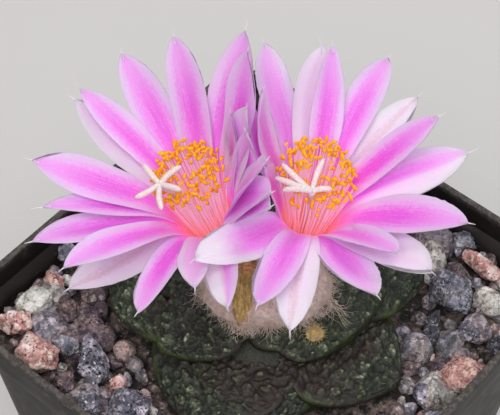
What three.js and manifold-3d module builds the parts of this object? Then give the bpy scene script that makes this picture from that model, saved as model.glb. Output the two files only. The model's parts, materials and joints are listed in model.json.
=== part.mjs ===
// Potted living rock cactus: a flat rosette of fissured tubercles with a woolly
// crown and two open pink blooms, in a square plastic pot dressed with gravel.
// Millimetres, +Z up. The origin is the middle of the pot's underside, and the
// pot's sides lie along X and Y. The plant is laid out in a turned plan: u runs
// to the right of the front corner's view, v away from it, w up from the rim.
import * as THREE from 'three';
import { mergeVertices } from 'three/addons/utils/BufferGeometryUtils.js';
import { ConvexGeometry } from 'three/addons/geometries/ConvexGeometry.js';
import Module from 'manifold-3d';

const wasm = await Module();
wasm.setup();

// Pot
const POT_HEIGHT = 65;
const RIM_HALF = 35;             // half the outer width of the collar
const BASE_HALF = 27;            // half the outer width of the underside
const BODY_HALF = 33.2;          // half the width right under the collar
const COLLAR_HEIGHT = 5.8;
const WALL = 1.2;
const FLOOR = 2;
const RIM_CORNER = 8;
const BASE_CORNER = 6;
const DRAIN_RADIUS = 4;
const DRAIN_OFFSET = 15;
// Fill
const SEAT = 0.3;                // clearance where two pieces touch
const ROOM = 0.42;               // clearance kept round the bumpy plant
const SOIL_TOP = 49;             // height above the ground
const BED_BASE = SOIL_TOP + SEAT;
const BED_TOP = 58;              // bulk level of the gravel, 7 mm under the rim
// Plant
const TURN = THREE.MathUtils.degToRad(40.6);
const PLANT_U = -0.5;
const PLANT_V = -3.5;
const TEPAL_THICK = 0.8;         // along the midrib
const TUBE_LENGTH = 9;
const TUBE_RADIUS = 2.4;         // mid radius of the floral tube at its foot
const TUBE_ANGLE = 10;

const rad = THREE.MathUtils.degToRad;
const vec = (x, y, z) => new THREE.Vector3(x, y, z);

// A point of the turned plan (w counted from the rim) in the pot's own frame.
function plan(u, v, w) {
  return vec(u * Math.cos(TURN) - v * Math.sin(TURN),
    u * Math.sin(TURN) + v * Math.cos(TURN), POT_HEIGHT + w);
}

// A repeatable draw between 0 and 1.
function lcg(seed) {
  let s = seed >>> 0;
  return () => {
    s = (Math.imul(s, 1664525) + 1013904223) >>> 0;
    return s / 4294967296;
  };
}

// Smooth repeatable noise, about -1 to 1.
function hash3(i, j, k) {
  let h = Math.imul(i, 374761393) + Math.imul(j, 668265263) + Math.imul(k, 2147483647);
  h = Math.imul(h ^ (h >>> 13), 1274126177);
  return ((h ^ (h >>> 16)) >>> 0) / 4294967296;
}
function noise(x, y, z) {
  const i = Math.floor(x), j = Math.floor(y), k = Math.floor(z);
  const a = ease(x - i), b = ease(y - j), c = ease(z - k);
  let sum = 0;
  for (let n = 0; n < 8; n++) {
    const p = n & 1, q = (n >> 1) & 1, r = n >> 2;
    const share = (p ? a : 1 - a) * (q ? b : 1 - b) * (r ? c : 1 - c);
    sum += hash3(i + p, j + q, k + r) * share;
  }
  return sum * 2 - 1;
}

// Closed shell over rings of equal count, capped at both ends.
function shell(rings) {
  const n = rings[0].length;
  const pos = [];
  const index = [];
  rings.forEach((ring) => ring.forEach((p) => pos.push(p.x, p.y, p.z)));
  for (let i = 0; i + 1 < rings.length; i++) {
    for (let j = 0; j < n; j++) {
      const a = i * n + j, b = i * n + (j + 1) % n;
      index.push(a, b, a + n, b, b + n, a + n);
    }
  }
  const cap = (row, turned) => {
    const centre = rings[row].reduce((s, p) => s.add(p), vec(0, 0, 0)).divideScalar(n);
    const c = pos.length / 3;
    pos.push(centre.x, centre.y, centre.z);
    for (let j = 0; j < n; j++) {
      const a = row * n + j, b = row * n + (j + 1) % n;
      index.push(...(turned ? [c, b, a] : [c, a, b]));
    }
  };
  cap(0, true);
  cap(rings.length - 1, false);
  const g = new THREE.BufferGeometry();
  g.setAttribute('position', new THREE.Float32BufferAttribute(pos, 3));
  g.setIndex(index);
  return g;
}

// Six times the signed volume: negative where the faces point in.
function signedVolume(p, index) {
  const [a, b, c] = [vec(0, 0, 0), vec(0, 0, 0), vec(0, 0, 0)];
  let sum = 0;
  for (let i = 0; i < index.length; i += 3) {
    a.fromArray(p, index[i] * 3);
    b.fromArray(p, index[i + 1] * 3);
    c.fromArray(p, index[i + 2] * 3);
    sum += a.dot(b.cross(c));
  }
  return sum;
}

function solid(geometry) {
  const g = geometry.clone();
  g.deleteAttribute('normal');
  g.deleteAttribute('uv');
  const m = mergeVertices(g, 1e-5);
  const corners = Array.from(m.index.array);
  if (signedVolume(m.attributes.position.array, corners) < 0) corners.reverse();
  return new wasm.Manifold(new wasm.Mesh({
    numProp: 3,
    vertProperties: new Float32Array(m.attributes.position.array),
    triVerts: new Uint32Array(corners),
  }));
}

const union = (list) => list.reduce((a, b) => a.add(b));

// The outer skin of a solid's largest body: loose scraps are dropped, and
// hollows that joining its pieces has sealed are filled. Corners closer than
// the weld become one, and the flat folds that this leaves are taken out.
function mainBody(manifold, weld = 1e-3) {
  const mesh = manifold.getMesh();
  const points = [];
  const cells = new Map();
  const key = (x, y, z) => `${x},${y},${z}`;
  const corner = Array.from({ length: mesh.vertProperties.length / 3 }, (_, i) => {
    const p = vec(0, 0, 0).fromArray(mesh.vertProperties, i * 3);
    const c = [p.x, p.y, p.z].map((x) => Math.floor(x / weld));
    for (let n = 0; n < 27; n++) {
      const step = [n % 3 - 1, Math.floor(n / 3) % 3 - 1, Math.floor(n / 9) - 1];
      const near = cells.get(key(...c.map((x, axis) => x + step[axis])));
      const hit = near && near.find((k) => points[k].distanceTo(p) < weld);
      if (hit !== undefined) return hit;
    }
    const id = points.push(p) - 1;
    const own = key(...c);
    cells.set(own, [...(cells.get(own) || []), id]);
    return id;
  });
  const faces = new Map();
  for (let i = 0; i < mesh.triVerts.length; i += 3) {
    const f = [corner[mesh.triVerts[i]], corner[mesh.triVerts[i + 1]], corner[mesh.triVerts[i + 2]]];
    if (f[0] === f[1] || f[1] === f[2] || f[0] === f[2]) continue;
    const turned = [...f].sort((x, y) => x - y);
    const odd = (f.indexOf(turned[0]) + 1) % 3 === f.indexOf(turned[1]) ? 1 : -1;
    const id = turned.join();
    const old = faces.get(id);
    if (old && old.odd !== odd) faces.delete(id);
    else faces.set(id, { f, odd });
  }
  const tri = [...faces.values()].map(({ f }) => f);
  // Skins are joined over edges, so two that only share a corner stay apart.
  const edgeOwner = new Map();
  const owner = tri.map((_, i) => i);
  const first = (i) => {
    let k = i;
    while (owner[k] !== k) {
      owner[k] = owner[owner[k]];
      k = owner[k];
    }
    return k;
  };
  tri.forEach((f, i) => f.forEach((p, k) => {
    const q = f[(k + 1) % 3];
    const e = p < q ? key(p, q, 0) : key(q, p, 0);
    if (edgeOwner.has(e)) owner[first(i)] = first(edgeOwner.get(e));
    else edgeOwner.set(e, i);
  }));
  const skins = new Map();
  tri.forEach((f, i) => {
    const id = first(i);
    if (!skins.has(id)) skins.set(id, []);
    skins.get(id).push(...f);
  });
  const flat = points.flatMap((p) => [p.x, p.y, p.z]);
  const volume = (list) => signedVolume(flat, list);
  const best = [...skins.values()].reduce((x, y) => (volume(y) > volume(x) ? y : x));
  const g = new THREE.BufferGeometry();
  const used = new Map();
  const pos = [];
  const index = best.map((i) => {
    if (!used.has(i)) {
      used.set(i, used.size);
      pos.push(points[i].x, points[i].y, points[i].z);
    }
    return used.get(i);
  });
  g.setAttribute('position', new THREE.Float32BufferAttribute(pos, 3));
  g.setIndex(index);
  return g;
}

const group = new THREE.Group();
function piece(name, manifold, colour, roughness) {
  const mesh = new THREE.Mesh(mainBody(manifold),
    new THREE.MeshStandardMaterial({ color: colour, roughness, metalness: 0 }));
  mesh.name = name;
  group.add(mesh);
}

// Pot: one thin moulding with a straight collar and four drain holes.
function squareRing(half, corner, z, per = 3) {
  const ring = [];
  for (let q = 0; q < 4; q++) {
    const cx = (q === 0 || q === 3 ? 1 : -1) * (half - corner);
    const cy = (q < 2 ? 1 : -1) * (half - corner);
    for (let i = 0; i <= per; i++) {
      const a = rad(q * 90 + i * 90 / per);
      ring.push(vec(cx + corner * Math.cos(a), cy + corner * Math.sin(a), z));
    }
  }
  return ring;
}
const blend = (a, b, t) => a + (b - a) * t;
const wallT = (z) => z / (POT_HEIGHT - COLLAR_HEIGHT);
const wallHalf = (z) => blend(BASE_HALF, BODY_HALF, wallT(z));
const wallCorner = (z) => blend(BASE_CORNER, RIM_CORNER - 0.8, wallT(z));
const collarBase = POT_HEIGHT - COLLAR_HEIGHT;

function buildPot() {
  const rings = [
    squareRing(BASE_HALF - 0.8, BASE_CORNER - 0.8, 0),
    squareRing(BASE_HALF, BASE_CORNER, 0.8),
    squareRing(wallHalf(collarBase), wallCorner(collarBase), collarBase),
    squareRing(RIM_HALF - 0.5, RIM_CORNER - 0.5, collarBase + 0.1),
    squareRing(RIM_HALF, RIM_CORNER, collarBase + 0.6),
    squareRing(RIM_HALF, RIM_CORNER, POT_HEIGHT - 0.4),
    squareRing(RIM_HALF - 0.35, RIM_CORNER - 0.35, POT_HEIGHT),
    squareRing(RIM_HALF - WALL + 0.2, RIM_CORNER - WALL + 0.2, POT_HEIGHT),
    squareRing(RIM_HALF - WALL, RIM_CORNER - WALL, POT_HEIGHT - 0.3),
    squareRing(RIM_HALF - WALL, RIM_CORNER - WALL, collarBase + WALL),
    squareRing(BODY_HALF - WALL, RIM_CORNER - 0.8 - WALL, collarBase),
    squareRing(BASE_HALF - WALL + 0.35, BASE_CORNER - WALL + 0.35, FLOOR),
  ];
  let pot = solid(shell(rings));
  for (const [sx, sy] of [[1, 1], [-1, 1], [-1, -1], [1, -1]]) {
    const hole = new THREE.CylinderGeometry(DRAIN_RADIUS, DRAIN_RADIUS, 8, 12)
      .rotateX(Math.PI / 2).translate(sx * DRAIN_OFFSET, sy * DRAIN_OFFSET, 0);
    pot = pot.subtract(solid(hole));
  }
  return pot;
}

// A block that fills the pot's inside between two heights, clear of its wall.
function fillBlock(z0, z1) {
  const step = collarBase + WALL;
  const heights = [z0, ...[collarBase, step].filter((z) => z > z0 && z < z1), z1];
  return solid(shell(heights.map((z) => {
    const taper = blend(BASE_HALF - WALL + 0.35, BODY_HALF - WALL,
      Math.min(1, (z - FLOOR) / (collarBase - FLOOR)));
    const half = z >= step ? RIM_HALF - WALL : taper;
    return squareRing(half - SEAT, blend(BASE_CORNER, RIM_CORNER, wallT(z)) - WALL, z);
  })));
}

// Cactus: tubercles in whorls, older ones lower and further out.
// [azimuth, tip reach, tip height, width, root height, sideways shift, bluntness]
const TUBERCLES = [
  [315, 14.2, 2.4, 20.8, 4.5, 5.2, 1], [84, 17, 2.2, 15.5, 4.6], [209.8, 17.9, 3.2, 13.7, 4.6],
  [17, 26.2, -1.2, 14, 2.4], [136, 22, -0.4, 18, 3.4], [270.5, 19.6, -3.1, 19.3, 1.2],
  [51, 25, -1.8, 19.5, 1.6], [174.3, 23.5, -1, 14.9, 1.5], [330.7, 23.4, -2.4, 21.1, 0.6],
  [103, 26, -2.8, 20, 1.0], [234.9, 21.2, -3.3, 22, 0.4], [156, 26.5, -3.6, 20, 0.4],
];
const TUBERCLE_STEPS = [0, 0.22, 0.44, 0.64, 0.84, 1];
const UNDERSIDE = -6.6;          // no tubercle reaches below this, from the rim

function tubercle([azimuth, reach, tipHeight, width, rootHeight, shift = 0, blunt = 0], grow) {
  const out = plan(Math.cos(rad(azimuth)), Math.sin(rad(azimuth)), -POT_HEIGHT);
  const side = plan(-Math.sin(rad(azimuth)), Math.cos(rad(azimuth)), -POT_HEIGHT);
  const centre = plan(PLANT_U, PLANT_V, 0);
  const rings = TUBERCLE_STEPS.map((t) => {
    const start = 0.36 * reach - 2;
    const s = blend(start, reach + grow * 1.6, t);
    const along = s / reach;
    const top = blend(rootHeight, tipHeight, along) + 1.1 * Math.sin(Math.PI * Math.min(1, along)) + grow * 2;
    const half = width / 2 * (t < 0.4 ? 0.62 + 0.38 * Math.sin(Math.PI * t / 0.8)
      : Math.pow(Math.max(0, 1 - Math.pow((t - 0.4) / 0.6, 1.8 + 1.7 * blunt)), 0.85 - 0.25 * blunt)) + 0.5 + grow * 1.6;
    const thick = Math.min(blend(6.5, 2.2, t), top - grow * 2 - UNDERSIDE) + grow * 3;
    const ring = [];
    const put = (across, down) => ring.push(centre.clone()
      .addScaledVector(out, s).addScaledVector(side, across + shift * Math.min(1, t * 2)).add(vec(0, 0, top - down)));
    for (let j = 0; j <= 5; j++) {
      const q = j / 2.5 - 1;
      const fade = 1 - Math.abs(q) ** 4;
      const bump = grow ? 0 : 0.55 * noise(s * 0.55 + azimuth, q * half * 0.55 + 9, 3)
        + 0.25 * noise(s * 1.1 + azimuth, q * half * 1.1, 7);
      put(-q * half, 0.5 * q * q - bump * fade * (t > 0.02 && t < 0.98 ? 1 : 0.3));
    }
    const edge = Math.min(1.9, thick * 0.6);
    put(-half * 0.94, 0.5 + edge);
    put(0, thick);
    put(half * 0.94, 0.5 + edge);
    return ring;
  });
  return solid(shell(rings));
}

// Turnip root and the core that the tubercles grow from.
function root(grow) {
  const outline = [[0, 3.6 + grow], [6 + grow, 2.6 + grow], [13 + grow, -3 + grow], [16 + grow, -9],
    [15 + grow, -15], [11 + grow, -24], [6 + grow, -33], [2 + grow, -39], [0, -41 - grow]];
  const profile = outline.map(([r, z]) => new THREE.Vector2(r, z)).reverse();
  const at = plan(PLANT_U, PLANT_V, 0);
  return solid(new THREE.LatheGeometry(profile, 18).rotateX(Math.PI / 2).translate(at.x, at.y, at.z));
}

function cactus(grow) {
  return union([root(grow), ...TUBERCLES.map((row) => tubercle(row, grow))]);
}

// Blooms. Each is laid out round an axis that leans in the turned plan.
class Bloom {
  constructor(u, v, w, leanLeft, leanFront) {
    this.base = plan(u, v, w);
    this.axis = plan(-Math.tan(rad(leanLeft)), -Math.tan(rad(leanFront)), 1 - POT_HEIGHT).normalize();
    const right = plan(1, 0, -POT_HEIGHT);
    this.right = right.addScaledVector(this.axis, -right.dot(this.axis)).normalize();
    this.away = new THREE.Vector3().crossVectors(this.axis, this.right);
  }

  // A point at a radius and azimuth round the axis and a height along it.
  at(radius, azimuth, height) {
    return this.base.clone()
      .addScaledVector(this.right, radius * Math.cos(azimuth))
      .addScaledVector(this.away, radius * Math.sin(azimuth))
      .addScaledVector(this.axis, height);
  }

  // The directions out from the axis and along its turn at an azimuth.
  turn(azimuth) {
    const [c, s] = [Math.cos(azimuth), Math.sin(azimuth)];
    const out = this.right.clone().multiplyScalar(c).addScaledVector(this.away, s);
    return [out, this.right.clone().multiplyScalar(-s).addScaledVector(this.away, c)];
  }

  matrix() {
    return new THREE.Matrix4().makeBasis(this.right, this.away, this.axis).setPosition(this.base);
  }
}

function ease(x) {
  const t = Math.min(1, Math.max(0, x));
  return t * t * (3 - 2 * t);
}

// Midline of a tepal in the half-plane of the axis: claw up the tube, then out.
function midline(opening, length, curl, steps = 40) {
  const total = TUBE_LENGTH + length;
  const lean = (t) => {
    const st = t * total;
    if (st < TUBE_LENGTH) return rad(TUBE_ANGLE);
    const f = (st - TUBE_LENGTH) / length;
    return rad(TUBE_ANGLE + (opening - TUBE_ANGLE) * ease(f / 0.45) + curl * f * f);
  };
  let r = TUBE_RADIUS, h = 0;
  const line = [{ t: 0, r, h, lean: lean(0) }];
  for (let i = 1; i <= steps; i++) {
    const mid = (lean((i - 1) / steps) + lean(i / steps)) / 2;
    r += Math.sin(mid) * total / steps;
    h += Math.cos(mid) * total / steps;
    line.push({ t: i / steps, r, h, lean: lean(i / steps) });
  }
  return line;
}

const TEPAL_STEPS = [12, 17, 22, 27, 32, 36, 39, 40];
function halfWidth(t, width) {
  if (t < 0.72) return width / 2 * (0.16 + 0.84 * Math.pow(Math.sin(Math.PI / 2 * t / 0.72), 2.8));
  return width / 2 * Math.pow(Math.max(0, 1 - Math.pow((t - 0.72) / 0.28, 2.4)), 0.78);
}

function tepal(bloom, [azimuth, opening, length, width, curl, swing, roll]) {
  const line = midline(opening, length, curl);
  const rings = TEPAL_STEPS.map((i) => {
    const { t, r, h, lean } = line[i];
    const a = rad(azimuth + swing * t * t);
    const [out, side] = bloom.turn(a);
    const flat = out.clone().multiplyScalar(-Math.cos(lean)).addScaledVector(bloom.axis, Math.sin(lean));
    const turn = rad(roll) * ease(t / 0.55);
    const across = side.clone().multiplyScalar(Math.cos(turn)).addScaledVector(flat, Math.sin(turn));
    const face = flat.multiplyScalar(Math.cos(turn)).addScaledVector(side, -Math.sin(turn));
    const half = Math.max(0.3, halfWidth(t, width));
    const cup = 0.16 * half;
    const at = (q, up) => bloom.at(r, a, h)
      .addScaledVector(across, q * half).addScaledVector(face, cup * q * q + up);
    return [at(-1, 0.2), at(0, 0.3), at(1, 0.2), at(0, 0.3 - TEPAL_THICK)];
  });
  return solid(shell(rings));
}

// Floral tube: a cup that the claws run up, hollow above its foot.
function tube(bloom) {
  const grow = Math.tan(rad(TUBE_ANGLE));
  const mid = (h) => TUBE_RADIUS + h * grow;
  const profile = [[0, -5.5], [1.6, -5.5], [2.3, -4], [mid(0) + 0.4, 0], [mid(9) + 0.45, 9],
    [mid(11) + 0.55, 11], [mid(11) - 0.3, 11.2], [mid(9) - 0.45, 9], [mid(1) - 0.5, 1], [0, 0.6]]
    .map(([r, z]) => new THREE.Vector2(r, z));
  return solid(new THREE.LatheGeometry(profile, 16).rotateX(Math.PI / 2).applyMatrix4(bloom.matrix()));
}

// A thin rod through points, with a given number of sides.
function rod(points, radii, sides = 4) {
  const rings = points.map((p, i) => {
    const d = (points[Math.min(i + 1, points.length - 1)].clone()
      .sub(points[Math.max(i - 1, 0)])).normalize();
    const ref = Math.abs(d.x) < 0.8 ? vec(1, 0, 0) : vec(0, 1, 0);
    const a = new THREE.Vector3().crossVectors(d, ref).normalize();
    const b = new THREE.Vector3().crossVectors(d, a);
    return Array.from({ length: sides }, (_, k) => p.clone()
      .addScaledVector(a, radii[i] * Math.cos(2 * Math.PI * k / sides))
      .addScaledVector(b, radii[i] * Math.sin(2 * Math.PI * k / sides)));
  });
  return solid(shell(rings));
}

// A bloom's middle line: its points, spread and then shifted to one side.
function leaning(bloom, { shiftU, shiftV }, radius, azimuth, height, k) {
  return bloom.at(radius, azimuth, height)
    .addScaledVector(bloom.right, shiftU * k * k).addScaledVector(bloom.away, shiftV * k * k);
}

// The pistil's rods, each a list of points: the style, then the stigma lobes.
function pistilRods(bloom, form) {
  const at = (k) => leaning(bloom, form, 0, 0, blend(1.0, form.height, k), k);
  return [[at(0), at(0.35), at(0.7), at(1)], ...form.lobes.map(([azimuth, rise, reach]) => {
    const [out] = bloom.turn(rad(azimuth));
    const lobe = (k) => at(1).addScaledVector(out, reach * k)
      .addScaledVector(bloom.axis, reach * Math.tan(rad(rise)) * (k - 0.35 * k * k));
    return [lobe(0), lobe(0.45), lobe(1)];
  })];
}

// Pistil: a slender style and stigma lobes spread from its top.
function pistil(bloom, form) {
  const [style, ...lobes] = pistilRods(bloom, form);
  return union([rod(style, [0.5, 0.45, 0.42, 0.5], 5),
    ...lobes.map((points) => rod(points, [0.4, 0.48, 0.24], 4))]);
}

// Stamens: filaments fused into a foot ring, each ending in a swollen anther.
// One that would touch the other parts of the bloom is left out.
function stamens(bloom, form, others) {
  const draw = lcg(form.seed);
  const foot = [[0.9, 1.3], [1.72, 1.3], [1.98, 3.2], [0.9, 3.2], [0.9, 1.3]]
    .map(([r, z]) => new THREE.Vector2(r, z));
  const parts = [solid(new THREE.LatheGeometry(foot, 14).rotateX(Math.PI / 2).applyMatrix4(bloom.matrix()))];
  const anther = (top, tilt, grow) => solid(new THREE.OctahedronGeometry(1, 0)
    .scale(0.58 + grow, 0.58 + grow, 1.05 + grow)
    .applyQuaternion(new THREE.Quaternion().setFromUnitVectors(vec(0, 0, 1), tilt))
    .translate(top.x, top.y, top.z));
  for (let i = 0, made = 0; made < form.count; i++) {
    const a = rad(i * 137.508);
    const f = Math.sqrt((i % 32 + 0.5) / 32);
    const r0 = f < 0.6 ? 1.15 : 1.6;
    const height = blend(form.high, form.low, f) + (draw() - 0.5) * 2.4;
    const r1 = 1.9 + (form.spread - 0.9) * f;
    const at = (k) => leaning(bloom, form, blend(r0, r1, Math.pow(k, 1.5)), a, blend(2.2, height, k), k);
    const top = at(1);
    const tilt = vec(draw() - 0.5, draw() - 0.5, draw() * 0.6).normalize();
    const room = rod([at(0.3), at(0.55), at(1)], [0.6, 0.7, 0.7], 4).add(anther(top, tilt, 0.4));
    if (others.intersect(room).volume() > 0) continue;
    made += 1;
    parts.push(rod([at(0), at(0.55), at(1)], [0.36, 0.35, 0.34], 3), anther(top, tilt, 0));
  }
  return union(parts);
}

// [azimuth, opening, length, width, curl, swing, roll] of each tepal
const LEFT_TEPALS = [
  [174.8, 49.6, 25.1, 6.5, 10.9, -5.2, 7], [185.5, 47.4, 23, 5.1, 14, 4.3, 19],
  [200.8, 56.6, 24.9, 5.7, 11.1, 0.4, 14.3], [226.5, 40.2, 26.2, 5.7, 22.3, 0.3, 2.6],
  [223.1, 76.8, 21.6, 7.5, -3.9, -5.8, 2.7], [252.6, 59.1, 24.6, 4.7, 1.1, 4.9, -1.4],
  [272.8, 49.2, 22.1, 4.5, 11.1, 6.6, -10], [293.2, 64.5, 24.1, 5.1, 2.5, -5.1, -0.8],
  [140.8, 63.6, 23.8, 6.6, -1.2, -3.7, 18.7], [133.2, 46.5, 25.1, 4.6, 40.3, -0.4, 15.5],
  [110.3, 60, 25.6, 5.9, 19.9, 2.7, -1.8], [81.8, 49.7, 24.8, 6.3, 18.6, 9.2, -13.4],
  [58.6, 54.7, 26, 7.1, 5.3, 3.2, -5.7], [30.6, 36, 29, 6.5, -11.1, 5.6, -0.9],
  [21.9, 25.1, 21.3, 4.1, -12.1, 2.4, 0.5], [16.6, 26.7, 23.8, 5.7, -3.7, -0.2, 9.9],
  [2.2, 37.2, 22.3, 4.7, -31.1, 1.7, 35.5], [-21.8, 30.7, 24.5, 6.3, 6.7, 3.8, -3.5],
  [-29.9, 45.3, 26.2, 4.8, -5.4, -7.5, 5.9], [-27.7, 37.5, 24.9, 6.6, 6.7, -3.6, 5.3],
];
const RIGHT_TEPALS = [
  [119.5, 66.4, 25, 5.9, 27.8, -10, 8.3], [100.5, 65.3, 23, 7.2, 1, -9.6, 19.3],
  [86.2, 52.7, 23.6, 5.3, 30.3, 0.5, 21.2], [68.4, 68.6, 26.6, 5.4, 33.9, -2.7, -11.1],
  [50.1, 69.7, 22, 4.9, 2.5, -1.9, -8.4], [26.7, 30.1, 23.8, 4.7, 11.6, -2.1, -2.3],
  [12.4, 60.9, 23, 6.6, 7.3, 3.2, 5.1], [-29, 40.9, 25.3, 7.8, 20.7, 2.8, -4.5],
  [-63, 34.4, 22.7, 5.7, 16.5, 2.3, -1.9], [-51.9, 50.1, 24.7, 7.1, 9.1, 0.7, 1.8],
  [-78.1, 57.4, 23.4, 6.4, -2.1, 4.3, 3], [-105.1, 70.2, 27.1, 5.6, 0.7, 2.2, 11.4],
  [-114.2, 66, 26, 5.5, 2.1, -0.6, 12], [-133.9, 68.4, 24.4, 6.9, 6.2, -7, 0.4],
  [153.1, 39.9, 24.8, 4.4, -37.7, -1.7, 4], [164.4, 43, 20.9, 4, -23.8, -14.7, -1.8],
  [184.2, 23.3, 15.4, 6, -1.3, 1.1, -6.6],
];

const leftBloom = new Bloom(-5.5, -2.1, 12.7, 17.1, 9.6);
const rightBloom = new Bloom(3.9, -2.2, 12.3, -11.1, 8.4);

// Crushed stones: [name, u, v, middle w, width, depth, height, turn, colour]
const STONES = [
  ['stone_white_left', -36.0, 1.0, -4.6, 7.4, 5.6, 4.8, 20, 0xc9c6c0],
  ['stone_pink_left_edge', -38.6, -3.0, -4.8, 5.0, 6.4, 5.0, 70, 0xb98474],
  ['stone_cream_left', -33.4, 5.2, -5.2, 3.2, 4.6, 4.0, 50, 0xd2b3a4],
  ['stone_grey_left_back', -31.6, 11.4, -6.2, 5.6, 4.4, 4.0, 10, 0x8d9294],
  ['stone_brown_left', -30.6, -0.6, -5.2, 4.0, 4.8, 4.2, 120, 0x8a6a60],
  ['stone_pink_left_large', -35.0, -9.2, -4.4, 7.2, 8.4, 6.4, 35, 0xbd8f86],
  ['stone_greywhite_left', -30.6, -7.2, -5.0, 3.8, 5.4, 4.6, 80, 0xa5a5a6],
  ['stone_mauve_left', -27.0, -3.2, -5.6, 5.6, 4.6, 4.4, 15, 0x6d6168],
  ['stone_speckled_left_long', -26.2, -10.2, -4.6, 6.0, 9.4, 5.6, 12, 0x6c6e73],
  ['stone_beige_left', -30.4, -13.6, -5.0, 4.6, 4.4, 4.0, 60, 0x857066],
  ['stone_speckled_left_round', -26.4, -18.8, -4.2, 5.0, 5.2, 4.8, 0, 0xa0a1a4],
  ['stone_speckled_front_large', -20.4, -19.0, -4.2, 8.4, 7.4, 6.0, 25, 0xb4b4b6],
  ['stone_red_left', -22.4, -13.6, -5.8, 3.8, 3.2, 3.4, 30, 0x84564c],
  ['stone_dark_front_long', -15.0, -22.2, -5.2, 3.8, 7.4, 4.4, 24, 0x55575b],
  ['stone_grey_front', -9.4, -27.2, -4.8, 6.4, 5.6, 5.0, 40, 0x8c8d90],
  ['stone_pink_front', -14.6, -28.4, -4.8, 5.4, 5.8, 4.8, 75, 0xb58a80],
  ['stone_dark_front', 2.6, -35.0, -5.0, 7.0, 5.4, 5.0, 15, 0x5d5f64],
  ['stone_white_front', -4.8, -33.4, -4.8, 5.8, 5.2, 4.6, 110, 0xbfbdb8],
  ['stone_mauve_front', 10.4, -33.2, -5.0, 6.0, 5.4, 4.8, 65, 0x6f646a],
  ['stone_grey_right_large', 29.2, 2.4, -4.4, 8.2, 9.0, 6.6, 25, 0x8f9193],
  ['stone_dark_right_long', 25.6, -4.0, -5.0, 3.6, 7.4, 5.0, -10, 0x4c4d50],
  ['stone_speckled_right', 31.0, -4.4, -5.4, 5.2, 4.8, 4.4, 40, 0x808286],
  ['stone_orange_right_long', 34.6, 8.6, -5.8, 3.8, 10.6, 4.2, 44, 0xb0765c],
  ['stone_grey_right_round', 31.6, 13.0, -5.6, 5.2, 5.6, 4.8, 0, 0x8b8d8f],
  ['stone_grey_right_far', 38.8, 0.6, -5.2, 4.4, 5.0, 4.4, 20, 0x75787a],
  ['stone_dark_right_shiny', 35.6, -7.4, -5.2, 5.4, 4.4, 4.2, 25, 0x3f4146],
  ['stone_pink_right_large', 29.6, -12.8, -4.4, 8.0, 8.4, 6.2, 30, 0xc39384],
  ['stone_dark_right_speckled', 23.4, -15.6, -5.6, 3.8, 5.6, 4.4, 8, 0x5b5c60],
  ['stone_blue_right', 24.6, -21.0, -4.8, 5.0, 4.8, 4.2, 50, 0x7a828c],
  ['stone_white_right_front', 18.6, -24.8, -4.6, 7.0, 5.8, 5.2, 15, 0xb3b2b0],
  ['stone_grey_back_right', 24.4, 19.4, -6.0, 5.2, 4.8, 4.4, 80, 0x989a9a],
  ['stone_orange_back', 13.8, 26.8, -6.0, 5.8, 5.0, 4.4, 35, 0xab7862],
  ['stone_grey_back', 1.8, 31.4, -6.0, 6.6, 5.6, 4.8, 10, 0x86888a],
  ['stone_white_back', -11.6, 27.6, -6.0, 5.6, 5.0, 4.6, 55, 0xb9b7b2],
  ['stone_dark_back_left', -22.6, 18.8, -6.0, 6.2, 5.2, 4.6, 100, 0x515358],
];

function stone([name, u, v, w, width, depth, height, turn], index, grow) {
  const draw = lcg(7919 * (index + 3));
  const points = [];
  const count = 13;
  for (let i = 0; i < count; i++) {
    const z = 1 - 2 * (i + 0.5) / count;
    const a = i * 2.39996 + draw() * 0.9;
    const ringR = Math.sqrt(1 - z * z);
    const k = 0.86 + 0.22 * draw();
    const [rx, ry, rz] = [width, depth, height].map((size) => size / 2 * k + grow);
    points.push(vec(rx * ringR * Math.cos(a), ry * ringR * Math.sin(a), rz * z));
  }
  const c = plan(u, v, w);
  const g = new ConvexGeometry(points);
  g.rotateX(rad((draw() - 0.5) * 30)).rotateZ(TURN + rad(turn)).translate(c.x, c.y, c.z);
  return solid(g);
}

// A small stone of the bed, half sunk in it.
function pebble(x, y, z, size, draw) {
  const g = new THREE.IcosahedronGeometry(size, 0);
  g.scale(0.8 + 0.45 * draw(), 0.8 + 0.45 * draw(), 0.7 + 0.3 * draw());
  g.rotateX(draw() * 3).rotateZ(draw() * 6).translate(x, y, z);
  return solid(g);
}

// How far a point of the plan lies outside the rosette's outline.
function beyondPlant(x, y) {
  const c = plan(PLANT_U, PLANT_V, 0);
  return Math.min(...TUBERCLES.map(([azimuth, reach, , width, , shift = 0, blunt = 0]) => {
    const a = rad(azimuth) + TURN;
    const s = (x - c.x) * Math.cos(a) + (y - c.y) * Math.sin(a);
    const across = Math.abs((y - c.y) * Math.cos(a) - (x - c.x) * Math.sin(a) - shift);
    const half = width / 2 * (blunt ? 1 : Math.sqrt(Math.max(0, 1 - Math.max(0, s / reach - 0.5) * 2))) + 0.5;
    if (s < 0) return Math.hypot(x - c.x, y - c.y) - 14;
    return s > reach ? Math.hypot(s - reach, across) : across - half;
  }));
}

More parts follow.
